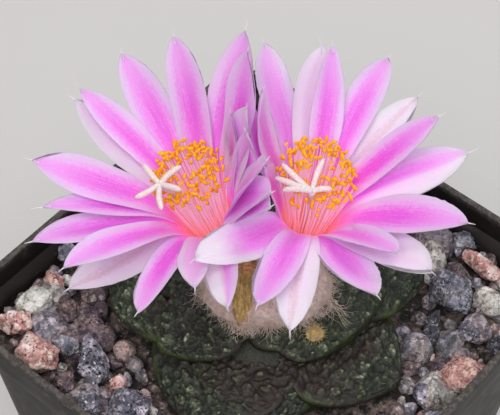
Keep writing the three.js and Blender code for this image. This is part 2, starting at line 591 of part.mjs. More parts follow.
function gravelBed(stones, cleared) {
  const draw = lcg(20411);
  const pitch = 5.4;            // between the lumps' middles
  const lumps = [];
  for (let i = -7; i <= 7; i++) {
    for (let j = -7; j <= 7; j++) {
      const x = (i + 0.5 * (j & 1)) * pitch + (draw() - 0.5) * 1.8;
      const y = j * pitch * 0.9 + (draw() - 0.5) * 1.8;
      const size = 2.3 + 0.9 * draw();
      const lift = -0.3 + 0.9 * draw();
      const inside = Math.abs(x) < 29.6 && Math.abs(y) < 29.6 && Math.abs(x) + Math.abs(y) < 55;
      const underPlant = beyondPlant(x, y) < size + 0.2;
      const buried = STONES.some((s) => {
        const p = plan(s[1], s[2], 0);
        return Math.hypot(x - p.x, y - p.y) < Math.min(s[4], s[5]) / 2;
      });
      if (inside && !underPlant && !buried) lumps.push(pebble(x, y, BED_TOP + lift, size, draw));
    }
  }
  const slab = fillBlock(BED_BASE, BED_TOP);
  const limit = fillBlock(BED_BASE, POT_HEIGHT);
  let bed = union([slab, ...lumps]).intersect(limit).subtract(cleared);
  stones.forEach((s) => { bed = bed.subtract(s); });
  return bed;
}

// Crown wool: a low felted cushion round the feet of the blooms, wider than deep.
const WOOL_MIDDLE = [0.2, -4.4];  // u and v
const WOOL_HALF = [9.8, 7.4];     // half its width along u and along v
// [share of the half widths, w] of the cushion's rings from its underside up
const WOOL_RINGS = [[0.41, 5.9], [0.88, 5.5], [1, 6.4], [0.9, 8.4], [0.61, 9.9], [0.24, 10.4]];
const WOOL_SIDES = 13;
function woolCushion() {
  return solid(shell(WOOL_RINGS.map(([share, w], i) => Array.from({ length: WOOL_SIDES }, (_, k) => {
    const a = 2 * Math.PI * k / WOOL_SIDES;
    const [x, y] = [Math.cos(a), Math.sin(a)];
    const wide = share * (1 + 0.07 * noise(3 * x, 3 * y, i * 0.9));
    const lift = i > 1 ? 0.4 * noise(2.2 * x + 5, 2.2 * y, i) : 0;
    return plan(WOOL_MIDDLE[0] + WOOL_HALF[0] * wide * x, WOOL_MIDDLE[1] + WOOL_HALF[1] * wide * y, w + lift);
  }))));
}

function tubeRoom(bloom) {
  const profile = [[0, -6], [2.1, -6], [2.9, -4.2], [3.4, 0], [3.9, 4], [0, 4]]
    .map(([r, z]) => new THREE.Vector2(r, z));
  return solid(new THREE.LatheGeometry(profile, 18).rotateX(Math.PI / 2).applyMatrix4(bloom.matrix()));
}

// Dried remnant of an earlier bloom, standing in the wool between the two.
// [u, v, w, radius] from its foot up
const DRIED = [[-3.6, -10.6, 5.6, 1], [-3.75, -9.9, 8.6, 1.2], [-3.5, -9.2, 11.2, 1.15],
  [-3.1, -8.4, 13.9, 1.35], [-2.9, -7.8, 16.2, 1.5]];
function driedFlower(grow) {
  const points = DRIED.map(([u, v, w], i) => plan(u, v, w - (i === 0 ? grow : 0)));
  return rod(points, DRIED.map(([, , , radius]) => radius + grow), 7);
}

// Assembly
piece('pot', buildPot(), 0x2e2b29, 0.5);

const body = cactus(0);
const bodyRoom = cactus(ROOM);
const rootRoom = root(ROOM);
piece('cactus_body', body, 0x2f3d2c, 0.8);
piece('potting_soil', fillBlock(FLOOR + SEAT, SOIL_TOP).subtract(rootRoom), 0x2a211b, 1);

const stoneRooms = [];
let placed = null;
const stoneSolids = STONES.map((row, i) => {
  let s = stone(row, i, 0).subtract(bodyRoom).intersect(fillBlock(BED_BASE, POT_HEIGHT + 4));
  if (placed) s = s.subtract(placed);
  const room = stone(row, i, SEAT + 0.06);
  placed = placed ? placed.add(room) : room;
  stoneRooms.push(room);
  return s;
});
piece('gravel_bed', gravelBed(stoneRooms, rootRoom), 0x6f6863, 0.95);
STONES.forEach((row, i) => piece(row[0], stoneSolids[i], row[8], 0.9));

const overBody = solid(mainBody(body).translate(0, 0, SEAT));
const wool = woolCushion().subtract(tubeRoom(leftBloom)).subtract(tubeRoom(rightBloom))
  .subtract(driedFlower(0.35)).subtract(body).subtract(overBody);
piece('crown_wool', wool, 0xb39b86, 1);
piece('dried_flower', driedFlower(0), 0x9c8050, 0.9);

// A small tuft of old wool near the tip of the front tubercle, resting on it.
const tuftAt = plan(7.1, -11.4, 4.2);
const tuft = solid(new THREE.IcosahedronGeometry(1.15, 1).scale(1, 1, 0.8)
  .translate(tuftAt.x, tuftAt.y, tuftAt.z)).subtract(body).subtract(overBody);
piece('tubercle_wool', tuft, 0xc0a662, 1);

for (const [side, bloom, rows, men, mid] of [
  ['left', leftBloom, LEFT_TEPALS,
    { count: 24, shiftU: 0.9, shiftV: 1, low: 17.5, high: 23.5, spread: 4.4, seed: 11 },
    { shiftU: -2.6, shiftV: -1.4, height: 23.3,
      lobes: [[126, 12, 4], [32, 10, 3.8], [333, 6, 3.6], [277, 6, 4.3], [207, 6, 3.9]] }],
  ['right', rightBloom, RIGHT_TEPALS,
    { count: 24, shiftU: -0.6, shiftV: 0.9, low: 17, high: 22.5, spread: 5, seed: 29 },
    { shiftU: -1.9, shiftV: -2.2, height: 20.8,
      lobes: [[142, 14, 5.5], [166, 8, 5.4], [186, 5, 4.2], [72, 30, 4.6], [10, 10, 2.8]] }],
]) {
  const petals = union([tube(bloom), ...rows.map((row) => tepal(bloom, row))]);
  piece(`bloom_${side}_tepals`, petals, 0xe583d8, 0.55);
  const middle = pistil(bloom, mid);
  piece(`bloom_${side}_stamens`, stamens(bloom, men, petals.add(middle)), 0xf2b21c, 0.7);
  piece(`bloom_${side}_pistil`, middle, 0xf1e6dc, 0.6);
}

export default group;
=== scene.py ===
"""Dresses a potted living rock cactus: rosette, woolly crown, two pink blooms, square pot, crushed granite.

Lengths in this file are millimetres until a piece is finished, when its mesh is scaled to metres.
The plant is laid out in a turned plan: u runs to the right, v away and w up from the pot's rim.
"""

import json
import logging
import math
from dataclasses import dataclass, field
from enum import Enum
from random import Random
from typing import Any, Callable, Iterator, Optional, Sequence, Union

import bmesh
import bpy
from mathutils import Matrix, Quaternion, Vector, noise

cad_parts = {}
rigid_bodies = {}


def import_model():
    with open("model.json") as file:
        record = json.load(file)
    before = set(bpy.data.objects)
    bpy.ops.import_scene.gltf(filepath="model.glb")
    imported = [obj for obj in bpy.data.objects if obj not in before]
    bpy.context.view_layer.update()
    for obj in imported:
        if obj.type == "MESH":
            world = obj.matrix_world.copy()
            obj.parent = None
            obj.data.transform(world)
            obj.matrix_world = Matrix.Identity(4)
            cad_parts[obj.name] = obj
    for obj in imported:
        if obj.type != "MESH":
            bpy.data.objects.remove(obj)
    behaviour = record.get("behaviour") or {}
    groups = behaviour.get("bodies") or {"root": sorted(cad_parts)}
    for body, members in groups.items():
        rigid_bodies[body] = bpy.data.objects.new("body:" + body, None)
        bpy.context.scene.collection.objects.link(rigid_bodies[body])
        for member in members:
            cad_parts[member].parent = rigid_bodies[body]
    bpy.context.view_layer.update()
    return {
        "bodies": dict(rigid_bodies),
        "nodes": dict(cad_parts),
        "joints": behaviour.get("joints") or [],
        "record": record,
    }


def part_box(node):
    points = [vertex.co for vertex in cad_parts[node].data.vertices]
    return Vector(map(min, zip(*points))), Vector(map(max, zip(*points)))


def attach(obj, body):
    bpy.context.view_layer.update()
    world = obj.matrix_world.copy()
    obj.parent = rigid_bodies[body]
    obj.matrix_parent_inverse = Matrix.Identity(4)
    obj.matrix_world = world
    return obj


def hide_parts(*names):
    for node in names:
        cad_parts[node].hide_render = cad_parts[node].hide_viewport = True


MM = 0.001
METRE = 1000.0
RIM_HEIGHT = 65.0
VIEW_AZIMUTH = 40.6
GOLDEN = math.radians(137.508)
CORNERS = ((1, 1), (-1, 1), (-1, -1), (1, -1))
ROOT = "root"
TINT = "tint"
LOG = logging.getLogger("cactus")

Place = Callable[[float, float], Vector]
Chart = Callable[[float, float], tuple[float, float]]
Tint = Callable[[float, float], tuple[float, float, float, float]]
Colour = tuple[float, float, float, float]


def srgb(red: float, green: float, blue: float) -> Colour:
    """Turns screen values from 0 to 1 into a linear colour."""
    linear = (x / 12.92 if x < 0.04045 else ((x + 0.055) / 1.055) ** 2.4 for x in (red, green, blue))
    return (*linear, 1.0)


def blend(low: float, high: float, share: float) -> float:
    """Gives the value a share of the way from low to high."""
    return low + (high - low) * share


def ease(low: float, high: float, x: float) -> float:
    """Rises smoothly from 0 at low to 1 at high."""
    t = min(1.0, max(0.0, (x - low) / (high - low)))
    return t * t * (3 - 2 * t)


def trace(line: Sequence[Sequence[float]], share: float) -> tuple[float, ...]:
    """Reads a line's rows at a share of its length, blended between neighbours."""
    k = share * (len(line) - 1)
    i = min(len(line) - 2, int(k))
    return tuple(blend(a, b, k - i) for a, b in zip(line[i], line[i + 1]))


def bearing(azimuth: float, elevation: float) -> Vector:
    """Gives the direction from the pot to a viewer, from two angles in degrees."""
    a, e = math.radians(azimuth), math.radians(elevation)
    return Vector((math.sin(a) * math.cos(e), -math.cos(a) * math.cos(e), math.sin(e)))


def any_way(draw: Random) -> Vector:
    """Draws a vector that may point anywhere."""
    return Vector((draw.gauss(0, 1), draw.gauss(0, 1), draw.gauss(0, 1)))


@dataclass(frozen=True)
class Plan:
    """The plant's turned plan in the pot's frame."""

    turn: float = math.radians(VIEW_AZIMUTH)
    rim: float = RIM_HEIGHT
    centre_u: float = -0.5
    centre_v: float = -3.5

    def way(self, u: float, v: float, w: float = 0.0) -> Vector:
        """Turns a direction of the plan into the pot's frame."""
        c, s = math.cos(self.turn), math.sin(self.turn)
        return Vector((u * c - v * s, u * s + v * c, w))

    def point(self, u: float, v: float, w: float) -> Vector:
        """Gives a point of the plan, w above the rim."""
        return self.way(u, v, w + self.rim)

    def centre(self) -> Vector:
        """Gives the rosette's middle at the rim's height."""
        return self.point(self.centre_u, self.centre_v, 0.0)


PLAN = Plan()


class Sock:
    """A shader socket that takes part in Python expressions."""

    def __init__(self, shader: "Shader", socket: bpy.types.NodeSocket) -> None:
        """Keeps the shader and its output socket."""
        self.shader = shader
        self.socket = socket

    def maths(self, operation: str, other: Any = 0.0, flip: bool = False) -> "Sock":
        """Adds a Math node on this socket.

        Args:
            operation: the node's operation.
            other: the second value or socket.
            flip: puts the second value first.

        Returns:
            The node's result.
        """
        pair = (other, self) if flip else (self, other)
        return self.shader.node("ShaderNodeMath", {"operation": operation}, {0: pair[0], 1: pair[1]})

    def __add__(self, other: Any) -> "Sock":
        """Adds."""
        return self.maths("ADD", other)

    def __sub__(self, other: Any) -> "Sock":
        """Subtracts."""
        return self.maths("SUBTRACT", other)

    def __rsub__(self, other: Any) -> "Sock":
        """Subtracts this from a value."""
        return self.maths("SUBTRACT", other, flip=True)

    def __mul__(self, other: Any) -> "Sock":
        """Multiplies."""
        return self.maths("MULTIPLY", other)

    __radd__ = __add__
    __rmul__ = __mul__

    def between(self, low: float, high: float) -> "Sock":
        """Rises smoothly from 0 at low to 1 at high."""
        return self.shader.node("ShaderNodeMapRange", {"interpolation_type": "SMOOTHSTEP"},
                                {"Value": self, "From Min": low, "From Max": high})

    def clamp(self) -> "Sock":
        """Keeps the value from 0 to 1."""
        return self.shader.node("ShaderNodeClamp", {}, {"Value": self})


class Shader:
    """One procedural material, built node by node."""

    def __init__(self, name: str) -> None:
        """Starts an empty material of that name."""
        self.material = bpy.data.materials.new(name)
        self.material.use_nodes = True
        self.tree = self.material.node_tree
        self.tree.nodes.clear()

    def node(self, kind: str, settings: Optional[dict[str, Any]] = None,
             sockets: Optional[dict[Union[int, str], Any]] = None, output: Union[int, str] = 0) -> Sock:
        """Adds a node, its settings first.

        Args:
            kind: the node's type.
            settings: its properties, with a ramp's stops under "stops".
            sockets: values or links for its inputs.
            output: the output wanted.

        Returns:
            That output.
        """
        made = self.tree.nodes.new(kind)
        for key, value in (settings or {}).items():
            if key == "stops":
                self.fill_ramp(made.color_ramp, value)
            else:
                setattr(made, key, value)
        for key, value in (sockets or {}).items():
            if isinstance(value, Sock):
                self.tree.links.new(value.socket, made.inputs[key])
            else:
                made.inputs[key].default_value = value
        return Sock(self, made.outputs[output])

    @staticmethod
    def fill_ramp(ramp: bpy.types.ColorRamp, stops: Sequence[tuple[float, Colour]]) -> None:
        """Writes a ramp's stops, each a position and a colour."""
        while len(ramp.elements) < len(stops):
            ramp.elements.new(1.0)
        for element, (position, colour) in zip(ramp.elements, stops):
            element.position = position
            element.color = colour

    def ramp(self, factor: Sock, stops: Sequence[tuple[float, Colour]]) -> Sock:
        """Colours a factor by stops."""
        return self.node("ShaderNodeValToRGB", {"stops": stops}, {"Fac": factor})

    def mix(self, factor: Any, first: Any, second: Any, way: str = "MIX") -> Sock:
        """Mixes two colours by a factor."""
        return self.node("ShaderNodeMix", {"data_type": "RGBA", "blend_type": way, "clamp_factor": True},
                         {0: factor, 6: first, 7: second}, 2)

    def place(self) -> Sock:
        """Gives Object coordinates, in metres."""
        return self.node("ShaderNodeTexCoord", output="Object")

    def height(self) -> Sock:
        """Gives the height in Object coordinates, in metres."""
        return self.split("ShaderNodeSeparateXYZ", self.place())[2]

    def scaled(self, scale: tuple[float, float, float]) -> Sock:
        """Gives Object coordinates, scaled along each axis."""
        return self.node("ShaderNodeMapping", {}, {"Vector": self.place(), "Scale": scale})

    def split(self, kind: str, source: Sock) -> tuple[Sock, ...]:
        """Takes a vector or colour apart with a Separate node of that kind."""
        parts = self.node(kind, {}, {0: source}).socket.node.outputs
        return tuple(Sock(self, part) for part in parts[:3])

    def chart(self) -> tuple[Sock, Sock]:
        """Gives the two parts of the piece's own UV map."""
        return self.split("ShaderNodeSeparateXYZ", self.node("ShaderNodeUVMap"))[:2]

    def tint_colour(self) -> Sock:
        """Gives the piece's tint attribute as a colour."""
        return self.node("ShaderNodeAttribute", {"attribute_name": TINT}, output="Color")

    def tint(self) -> tuple[Sock, Sock, Sock, Sock]:
        """Gives the four parts of the piece's tint attribute."""
        colour = self.tint_colour()
        alpha = Sock(self, colour.socket.node.outputs["Alpha"])
        return (*self.split("ShaderNodeSeparateColor", colour), alpha)

    def grain(self, scale: float, detail: float = 3.0, vector: Optional[Sock] = None, rough: float = 0.55,
              output: Union[int, str] = 0) -> Sock:
        """Adds soft noise.

        Args:
            scale: repeats in a metre, or in a unit of the vector given.
            detail: octaves of finer noise.
            vector: where to read it, Object coordinates without one.
            rough: how much the finer octaves count.
            output: the output wanted, a value or "Color".

        Returns:
            Noise about 0.5.
        """
        sockets = {"Vector": vector or self.place(), "Scale": scale, "Detail": detail, "Roughness": rough}
        return self.node("ShaderNodeTexNoise", {}, sockets, output)

    def cells(self, scale: float, feature: str = "F1", vector: Optional[Sock] = None,
              output: str = "Distance") -> Sock:
        """Adds a cell pattern, on Object coordinates without a vector."""
        sockets = {"Vector": vector or self.place(), "Scale": scale}
        return self.node("ShaderNodeTexVoronoi", {"feature": feature}, sockets, output)

    def stretch(self, u: Any, v: Any, w: Any) -> Sock:
        """Joins three values to a vector."""
        return self.node("ShaderNodeCombineXYZ", {}, {0: u, 1: v, 2: w})

    def bump(self, height: Sock, depth: float, strength: float = 1.0) -> Sock:
        """Turns a height into a normal, depth in millimetres."""
        sockets = {"Strength": strength, "Distance": depth * MM, "Height": height}
        return self.node("ShaderNodeBump", {}, sockets)

    def finish(self, colour: Any, roughness: Any, normal: Optional[Sock] = None,
               **fixed: Any) -> bpy.types.Material:
        """Closes the material with a Principled surface.

        Args:
            colour: base colour, a value or a link.
            roughness: roughness, a value or a link.
            normal: the bumped normal.
            **fixed: other inputs by name, with underscores for spaces; only Emission_Color may be a link.

        Returns:
            The material.
        """
        sockets = {"Base Color": colour, "Roughness": roughness}
        if normal:
            sockets["Normal"] = normal
        sockets.update({key.replace("_", " "): value for key, value in fixed.items()})
        surface = self.node("ShaderNodeBsdfPrincipled", {}, sockets)
        out = self.tree.nodes.new("ShaderNodeOutputMaterial")
        self.tree.links.new(surface.socket, out.inputs["Surface"])
        return self.material


def new_mesh() -> bmesh.types.BMesh:
    """Starts a bmesh with a UV map and a tint for each point."""
    bm = bmesh.new()
    bm.loops.layers.uv.new("UVMap")
    bm.verts.layers.float_color.new(TINT)
    return bm


def placed(name: str, data: Any) -> bpy.types.Object:
    """Puts data in the scene as an object at the origin."""
    obj = bpy.data.objects.new(name, data)
    bpy.context.scene.collection.objects.link(obj)
    return obj


def poured(name: str, bm: bmesh.types.BMesh) -> bpy.types.Mesh:
    """Turns a bmesh into a mesh and frees it."""
    mesh = bpy.data.meshes.new(name)
    bm.to_mesh(mesh)
    bm.free()
    return mesh


def settled(obj: bpy.types.Object) -> bpy.types.Mesh:
    """Gives an object's mesh with its modifiers applied, and removes the object."""
    bpy.context.view_layer.update()
    mesh = bpy.data.meshes.new_from_object(obj.evaluated_get(bpy.context.evaluated_depsgraph_get()))
    bpy.data.objects.remove(obj)
    return mesh


def wrap(bm: bmesh.types.BMesh, rows: int, around: int, place: Place, tint: Optional[Tint] = None,
         chart: Optional[Chart] = None) -> None:
    """Bends a grid round into a closed skin and caps its ends.

    Args:
        bm: the mesh that it joins.
        rows: steps along.
        around: steps around.
        place: the point for a share along and a share around.
        tint: the tint there.
        chart: the UV there, the two shares without one.
    """
    made = bmesh.ops.create_grid(bm, x_segments=rows, y_segments=around, size=0.5)["verts"]
    uv = bm.loops.layers.uv.active
    shades = bm.verts.layers.float_color[TINT]
    for face in {f for v in made for f in v.link_faces}:
        for loop in face.loops:
            t, s = loop.vert.co.x + 0.5, loop.vert.co.y + 0.5
            loop[uv].uv = chart(t, s) if chart else (s, t)
    for vert in made:
        t, s = vert.co.x + 0.5, vert.co.y + 0.5
        if tint:
            vert[shades] = tint(t, s)
        vert.co = place(t, s)
    seam = [v for v in made if v.is_boundary]
    bmesh.ops.remove_doubles(bm, verts=seam, dist=1e-3)
    rims = list({e for v in made if v.is_valid for e in v.link_edges if e.is_boundary})
    bmesh.ops.holes_fill(bm, edges=rims, sides=0)


def piece(name: str, source: Union[bmesh.types.BMesh, bpy.types.Mesh], paint: bpy.types.Material, slot: str,
          nodes: Sequence[str] = (), sharp: Optional[float] = None) -> bpy.types.Object:
    """Finishes a mesh as a piece of the object.

    Args:
        name: the piece's name.
        source: a bmesh in millimetres, or a mesh in metres.
        paint: its material.
        slot: the record's slot; not used.
        nodes: the CAD nodes that it stands for.
        sharp: edges over this angle in degrees stay crisp.

    Returns:
        The object.
    """
    if isinstance(source, bmesh.types.BMesh):
        bmesh.ops.recalc_face_normals(source, faces=source.faces[:])
        bmesh.ops.scale(source, vec=Vector((MM, MM, MM)), verts=source.verts[:])
        mesh = poured(name, source)
    else:
        mesh = source
    mesh.name = name
    mesh.polygons.foreach_set("use_smooth", [True] * len(mesh.polygons))
    if sharp is not None:
        mesh.set_sharp_from_angle(angle=math.radians(sharp))
    mesh.materials.clear()
    mesh.materials.append(paint)
    obj = placed(name, mesh)
    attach(obj, ROOT)
    if nodes:
        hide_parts(*nodes)
    LOG.info("%s: %d faces", name, len(mesh.polygons))
    return obj


Strand = Sequence[tuple[Vector, float]]


def strands(lines: Sequence[Strand]) -> bpy.types.Mesh:
    """Makes fine rods along lines of points in millimetres.

    Args:
        lines: each a list of points with the rod's radius there.

    Returns:
        A mesh in metres.
    """
    data = bpy.data.curves.new("strands", "CURVE")
    data.dimensions = "3D"
    data.bevel_depth = MM
    data.bevel_resolution = 0
    data.use_fill_caps = True
    for line in lines:
        spline = data.splines.new("POLY")
        spline.points.add(len(line) - 1)
        for point, (at, radius) in zip(spline.points, line):
            point.co = (*(at * MM), 1.0)
            point.radius = radius
    mesh = settled(placed("strands", data))
    bpy.data.curves.remove(data)
    return mesh


class Draws:
    """The same repeatable draws from 0 to 1 as the model's lumps use."""

    factor, step, span = 1664525, 1013904223, 2 ** 32

    def __init__(self, seed: int) -> None:
        """Starts at a seed."""
        self.state = seed

    def __call__(self) -> float:
        """Gives the next draw."""
        self.state = (self.state * self.factor + self.step) % self.span
        return self.state / self.span


class Granite(Enum):
    """Kinds of crushed stone: ground colour, second colour, share of dark and of pale grains."""

    PINK = (srgb(0.88, 0.78, 0.76), srgb(0.80, 0.66, 0.62), 0.50, 0.66)
    MAUVE = (srgb(0.45, 0.39, 0.42), srgb(0.54, 0.46, 0.46), 0.66, 0.44)
    WHITE = (srgb(0.88, 0.88, 0.86), srgb(0.75, 0.76, 0.73), 0.24, 0.60)
    GREY = (srgb(0.60, 0.60, 0.63), srgb(0.48, 0.49, 0.54), 0.66, 0.56)
    SPECKLED = (srgb(0.70, 0.68, 0.73), srgb(0.42, 0.42, 0.47), 1.0, 0.80)
    DARK = (srgb(0.25, 0.25, 0.28), srgb(0.36, 0.36, 0.40), 0.80, 0.48)

    @property
    def slot(self) -> str:
        """The record's slot for this kind."""
        return "stone_" + self.name.lower()


@dataclass(frozen=True)
class GraniteFinish:
    """Broken granite: coarse crystals, dark and pale grains, a dull rough break."""

    crystal: float = 0.9
    crystal_shares: tuple = ((1.0, 0.62), (0.45, 0.42))
    crystal_tones: tuple = ((0.0, srgb(0.30, 0.30, 0.32)), (0.4, srgb(0.55, 0.54, 0.55)),
                            (0.75, srgb(0.80, 0.79, 0.78)), (1.0, srgb(1.0, 0.98, 0.97)))
    patch: float = 3.4
    speck: float = 0.5
    drift: float = 0.6
    black: Colour = srgb(0.08, 0.08, 0.09)
    light: Colour = srgb(0.90, 0.89, 0.89)

    def grains(self, shader: Shader, ground: Any, second: Any, dark: Any, pale: Any) -> bpy.types.Material:
        """Paints granite.

        Args:
            shader: the material to fill.
            ground: main colour.
            second: colour of the larger patches.
            dark: share of dark grains.
            pale: share of pale grains.

        Returns:
            The material.
        """
        drift = shader.grain(METRE / self.crystal, 3, rough=0.5, output="Color")
        bent = shader.node("ShaderNodeVectorMath", {"operation": "MULTIPLY_ADD"},
                           {0: drift, 1: (self.drift * MM,) * 3, 2: shader.place()})
        patch = shader.grain(METRE / (self.crystal * self.patch), 3).between(0.42, 0.58)
        body = shader.mix(patch, ground, second)
        for size, share in self.crystal_shares:
            cells = shader.cells(METRE / (self.crystal * size), vector=bent, output="Color")
            shade = shader.split("ShaderNodeSeparateColor", cells)[0]
            body = shader.mix(share, body, shader.ramp(shade, self.crystal_tones), "OVERLAY")
        speck = shader.grain(METRE / self.speck, 3, rough=0.7)
        dark_areas = shader.grain(METRE / (self.speck * 5), 2).between(0.36, 0.62)
        black = speck.between(0.54, 0.60) * dark_areas * dark * 1.9
        body = shader.mix(black.clamp(), body, self.black)
        pale_areas = shader.grain(METRE / (self.speck * 6), 2).between(0.40, 0.66)
        light = (1 - speck).between(0.58, 0.68) * pale_areas * pale
        body = shader.mix((light * 1.5).clamp(), body, self.light)
        height = shader.cells(METRE / (self.crystal * 0.7), "SMOOTH_F1") + speck * 0.9
        relief = shader.bump(height, 0.22, 0.8)
        return shader.finish(body, 0.86 - light * 0.35, relief, Specular_IOR_Level=0.4)

    def of_kind(self, kind: Granite) -> bpy.types.Material:
        """Paints one kind of stone."""
        ground, second, dark, pale = kind.value
        return self.grains(Shader("granite_" + kind.name.lower()), ground, second, dark, pale)

    def mixed(self) -> bpy.types.Material:
        """Paints loose stones that carry their own colour in the tint."""
        shader = Shader("granite_loose")
        colour = shader.tint_colour()
        lifted = shader.mix(0.5, colour, srgb(0.62, 0.55, 0.52))
        return self.grains(shader, colour, lifted, 0.42, 0.36)


@dataclass(frozen=True)
class PotPlastic:
    """Thin dark moulded plastic with dust, lime haze on the rim and fine scuffs."""

    rim: float = RIM_HEIGHT
    scratches: tuple[float, float, float] = (260, 260, 2600)
    splashed: tuple[float, float] = (30.0, 64.0)

    def paint(self) -> bpy.types.Material:
        """Paints the pot."""
        s = Shader("pot_plastic")
        z = s.height()
        dust = s.grain(70, 5, rough=0.65).between(0.35, 0.75)
        colour = s.mix(dust * 0.55, srgb(0.10, 0.087, 0.08), srgb(0.18, 0.155, 0.138))
        grit = s.grain(1500, 3, rough=0.7).between(0.42, 0.66)
        top = z.between((self.rim - 1.3) * MM, (self.rim - 0.1) * MM)
        colour = s.mix(top * (0.30 + grit * 0.55), colour, srgb(0.41, 0.39, 0.37))
        scratch = s.grain(1.0, 4, s.scaled(self.scratches))
        fine = scratch.between(0.60, 0.70)
        colour = s.mix(fine * 0.25, colour, srgb(0.40, 0.37, 0.34))
        splash = s.grain(240, 3).between(0.60, 0.74) * z.between(*(at * MM for at in self.splashed))
        colour = s.mix(splash * 0.3, colour, srgb(0.42, 0.38, 0.33))
        rough = 0.42 + dust * 0.22 + top * 0.2 + fine * 0.1
        relief = s.bump(s.grain(2200, 2) + scratch * 0.6, 0.05, 0.5)
        return s.finish(colour, rough, relief, Specular_IOR_Level=0.3)


@dataclass(frozen=True)
class SoilFinish:
    """Dark crumbly soil."""

    def paint(self) -> bpy.types.Material:
        """Paints the soil."""
        s = Shader("soil")
        crumb = s.grain(900, 5, rough=0.7)
        colour = s.ramp(crumb, [(0.3, srgb(0.10, 0.07, 0.05)), (0.6, srgb(0.24, 0.18, 0.14)),
                                (0.8, srgb(0.42, 0.35, 0.28))])
        return s.finish(colour, 0.95, s.bump(crumb + s.cells(600), 0.5))


@dataclass(frozen=True)
class CactusSkin:
    """Dark fissured skin, darker in the fissures and paler on the wart tops, partly its own colour and partly
    painted shade and painted highlights; the tint holds wart height, smooth margin, a brown tint that is
    partly painted shade, and lightness.
    """

    fine: float = 0.35
    fleck_and_highlight: float = 0.22
    crease: float = 0.55

    def paint(self) -> bpy.types.Material:
        """Paints the rosette."""
        s = Shader("cactus_skin")
        wart, margin, brown, light = s.tint()
        mottle = s.grain(260, 4, rough=0.6)
        speck = s.grain(METRE / self.fine, 4, rough=0.7)
        # Partly painted light: the ramp by wart height makes the fissures near black and the wart tops pale,
        # which stands for shade in the creases and highlights on the tops as well as the skin's own
        # grey-green.
        height = (wart + (speck - 0.5) * 1.25 + (mottle - 0.5) * 0.5 + light * 0.18).clamp()
        colour = s.ramp(height, [(0.0, srgb(0.02, 0.03, 0.02)), (0.32, srgb(0.06, 0.085, 0.05)),
                                 (0.56, srgb(0.15, 0.18, 0.11)), (0.78, srgb(0.30, 0.33, 0.235)),
                                 (0.92, srgb(0.50, 0.53, 0.44)), (1.0, srgb(0.68, 0.69, 0.61))])
        # Pale flecks only on the wart tops, partly painted highlights.
        fleck_and_highlight = s.grain(METRE / self.fleck_and_highlight, 3, rough=0.75).between(0.57, 0.68)
        colour = s.mix(fleck_and_highlight * wart * 0.85, colour, srgb(0.62, 0.65, 0.57))
        colour = s.mix(light * 0.25, colour, srgb(0.36, 0.43, 0.29))
        # Brown tint, partly painted shade under the upper tubercles and along the edges.
        colour = s.mix(brown * (0.35 + mottle * 0.6), colour, srgb(0.16, 0.10, 0.085))
        green = s.mix(mottle.between(0.35, 0.7), srgb(0.16, 0.225, 0.075), srgb(0.29, 0.375, 0.145))
        colour = s.mix(margin * (0.40 + speck * 0.4), colour, green)
        rough = 0.62 - height * 0.22 - margin * 0.12
        relief = s.bump(speck + s.cells(METRE / self.crease, "SMOOTH_F1") * 0.8, 0.16, 0.7)
        return s.finish(colour, rough, relief, Specular_IOR_Level=0.45)


@dataclass(frozen=True)
class FibreFinish:
    """Matted or loose plant hair in one pair of colours."""

    name: str
    dark: Colour
    pale: Colour
    scale: float = 900.0

    def paint(self) -> bpy.types.Material:
        """Paints the fibre."""
        s = Shader(self.name)
        felt = s.grain(self.scale, 5, rough=0.7)
        colour = s.ramp(felt, [(0.25, self.dark), (0.62, self.pale)])
        return s.finish(colour, 0.85, s.bump(felt + s.grain(self.scale * 3, 3), 0.3), Sheen_Weight=0.3,
                        Subsurface_Weight=0.1, Subsurface_Scale=0.5 * MM)


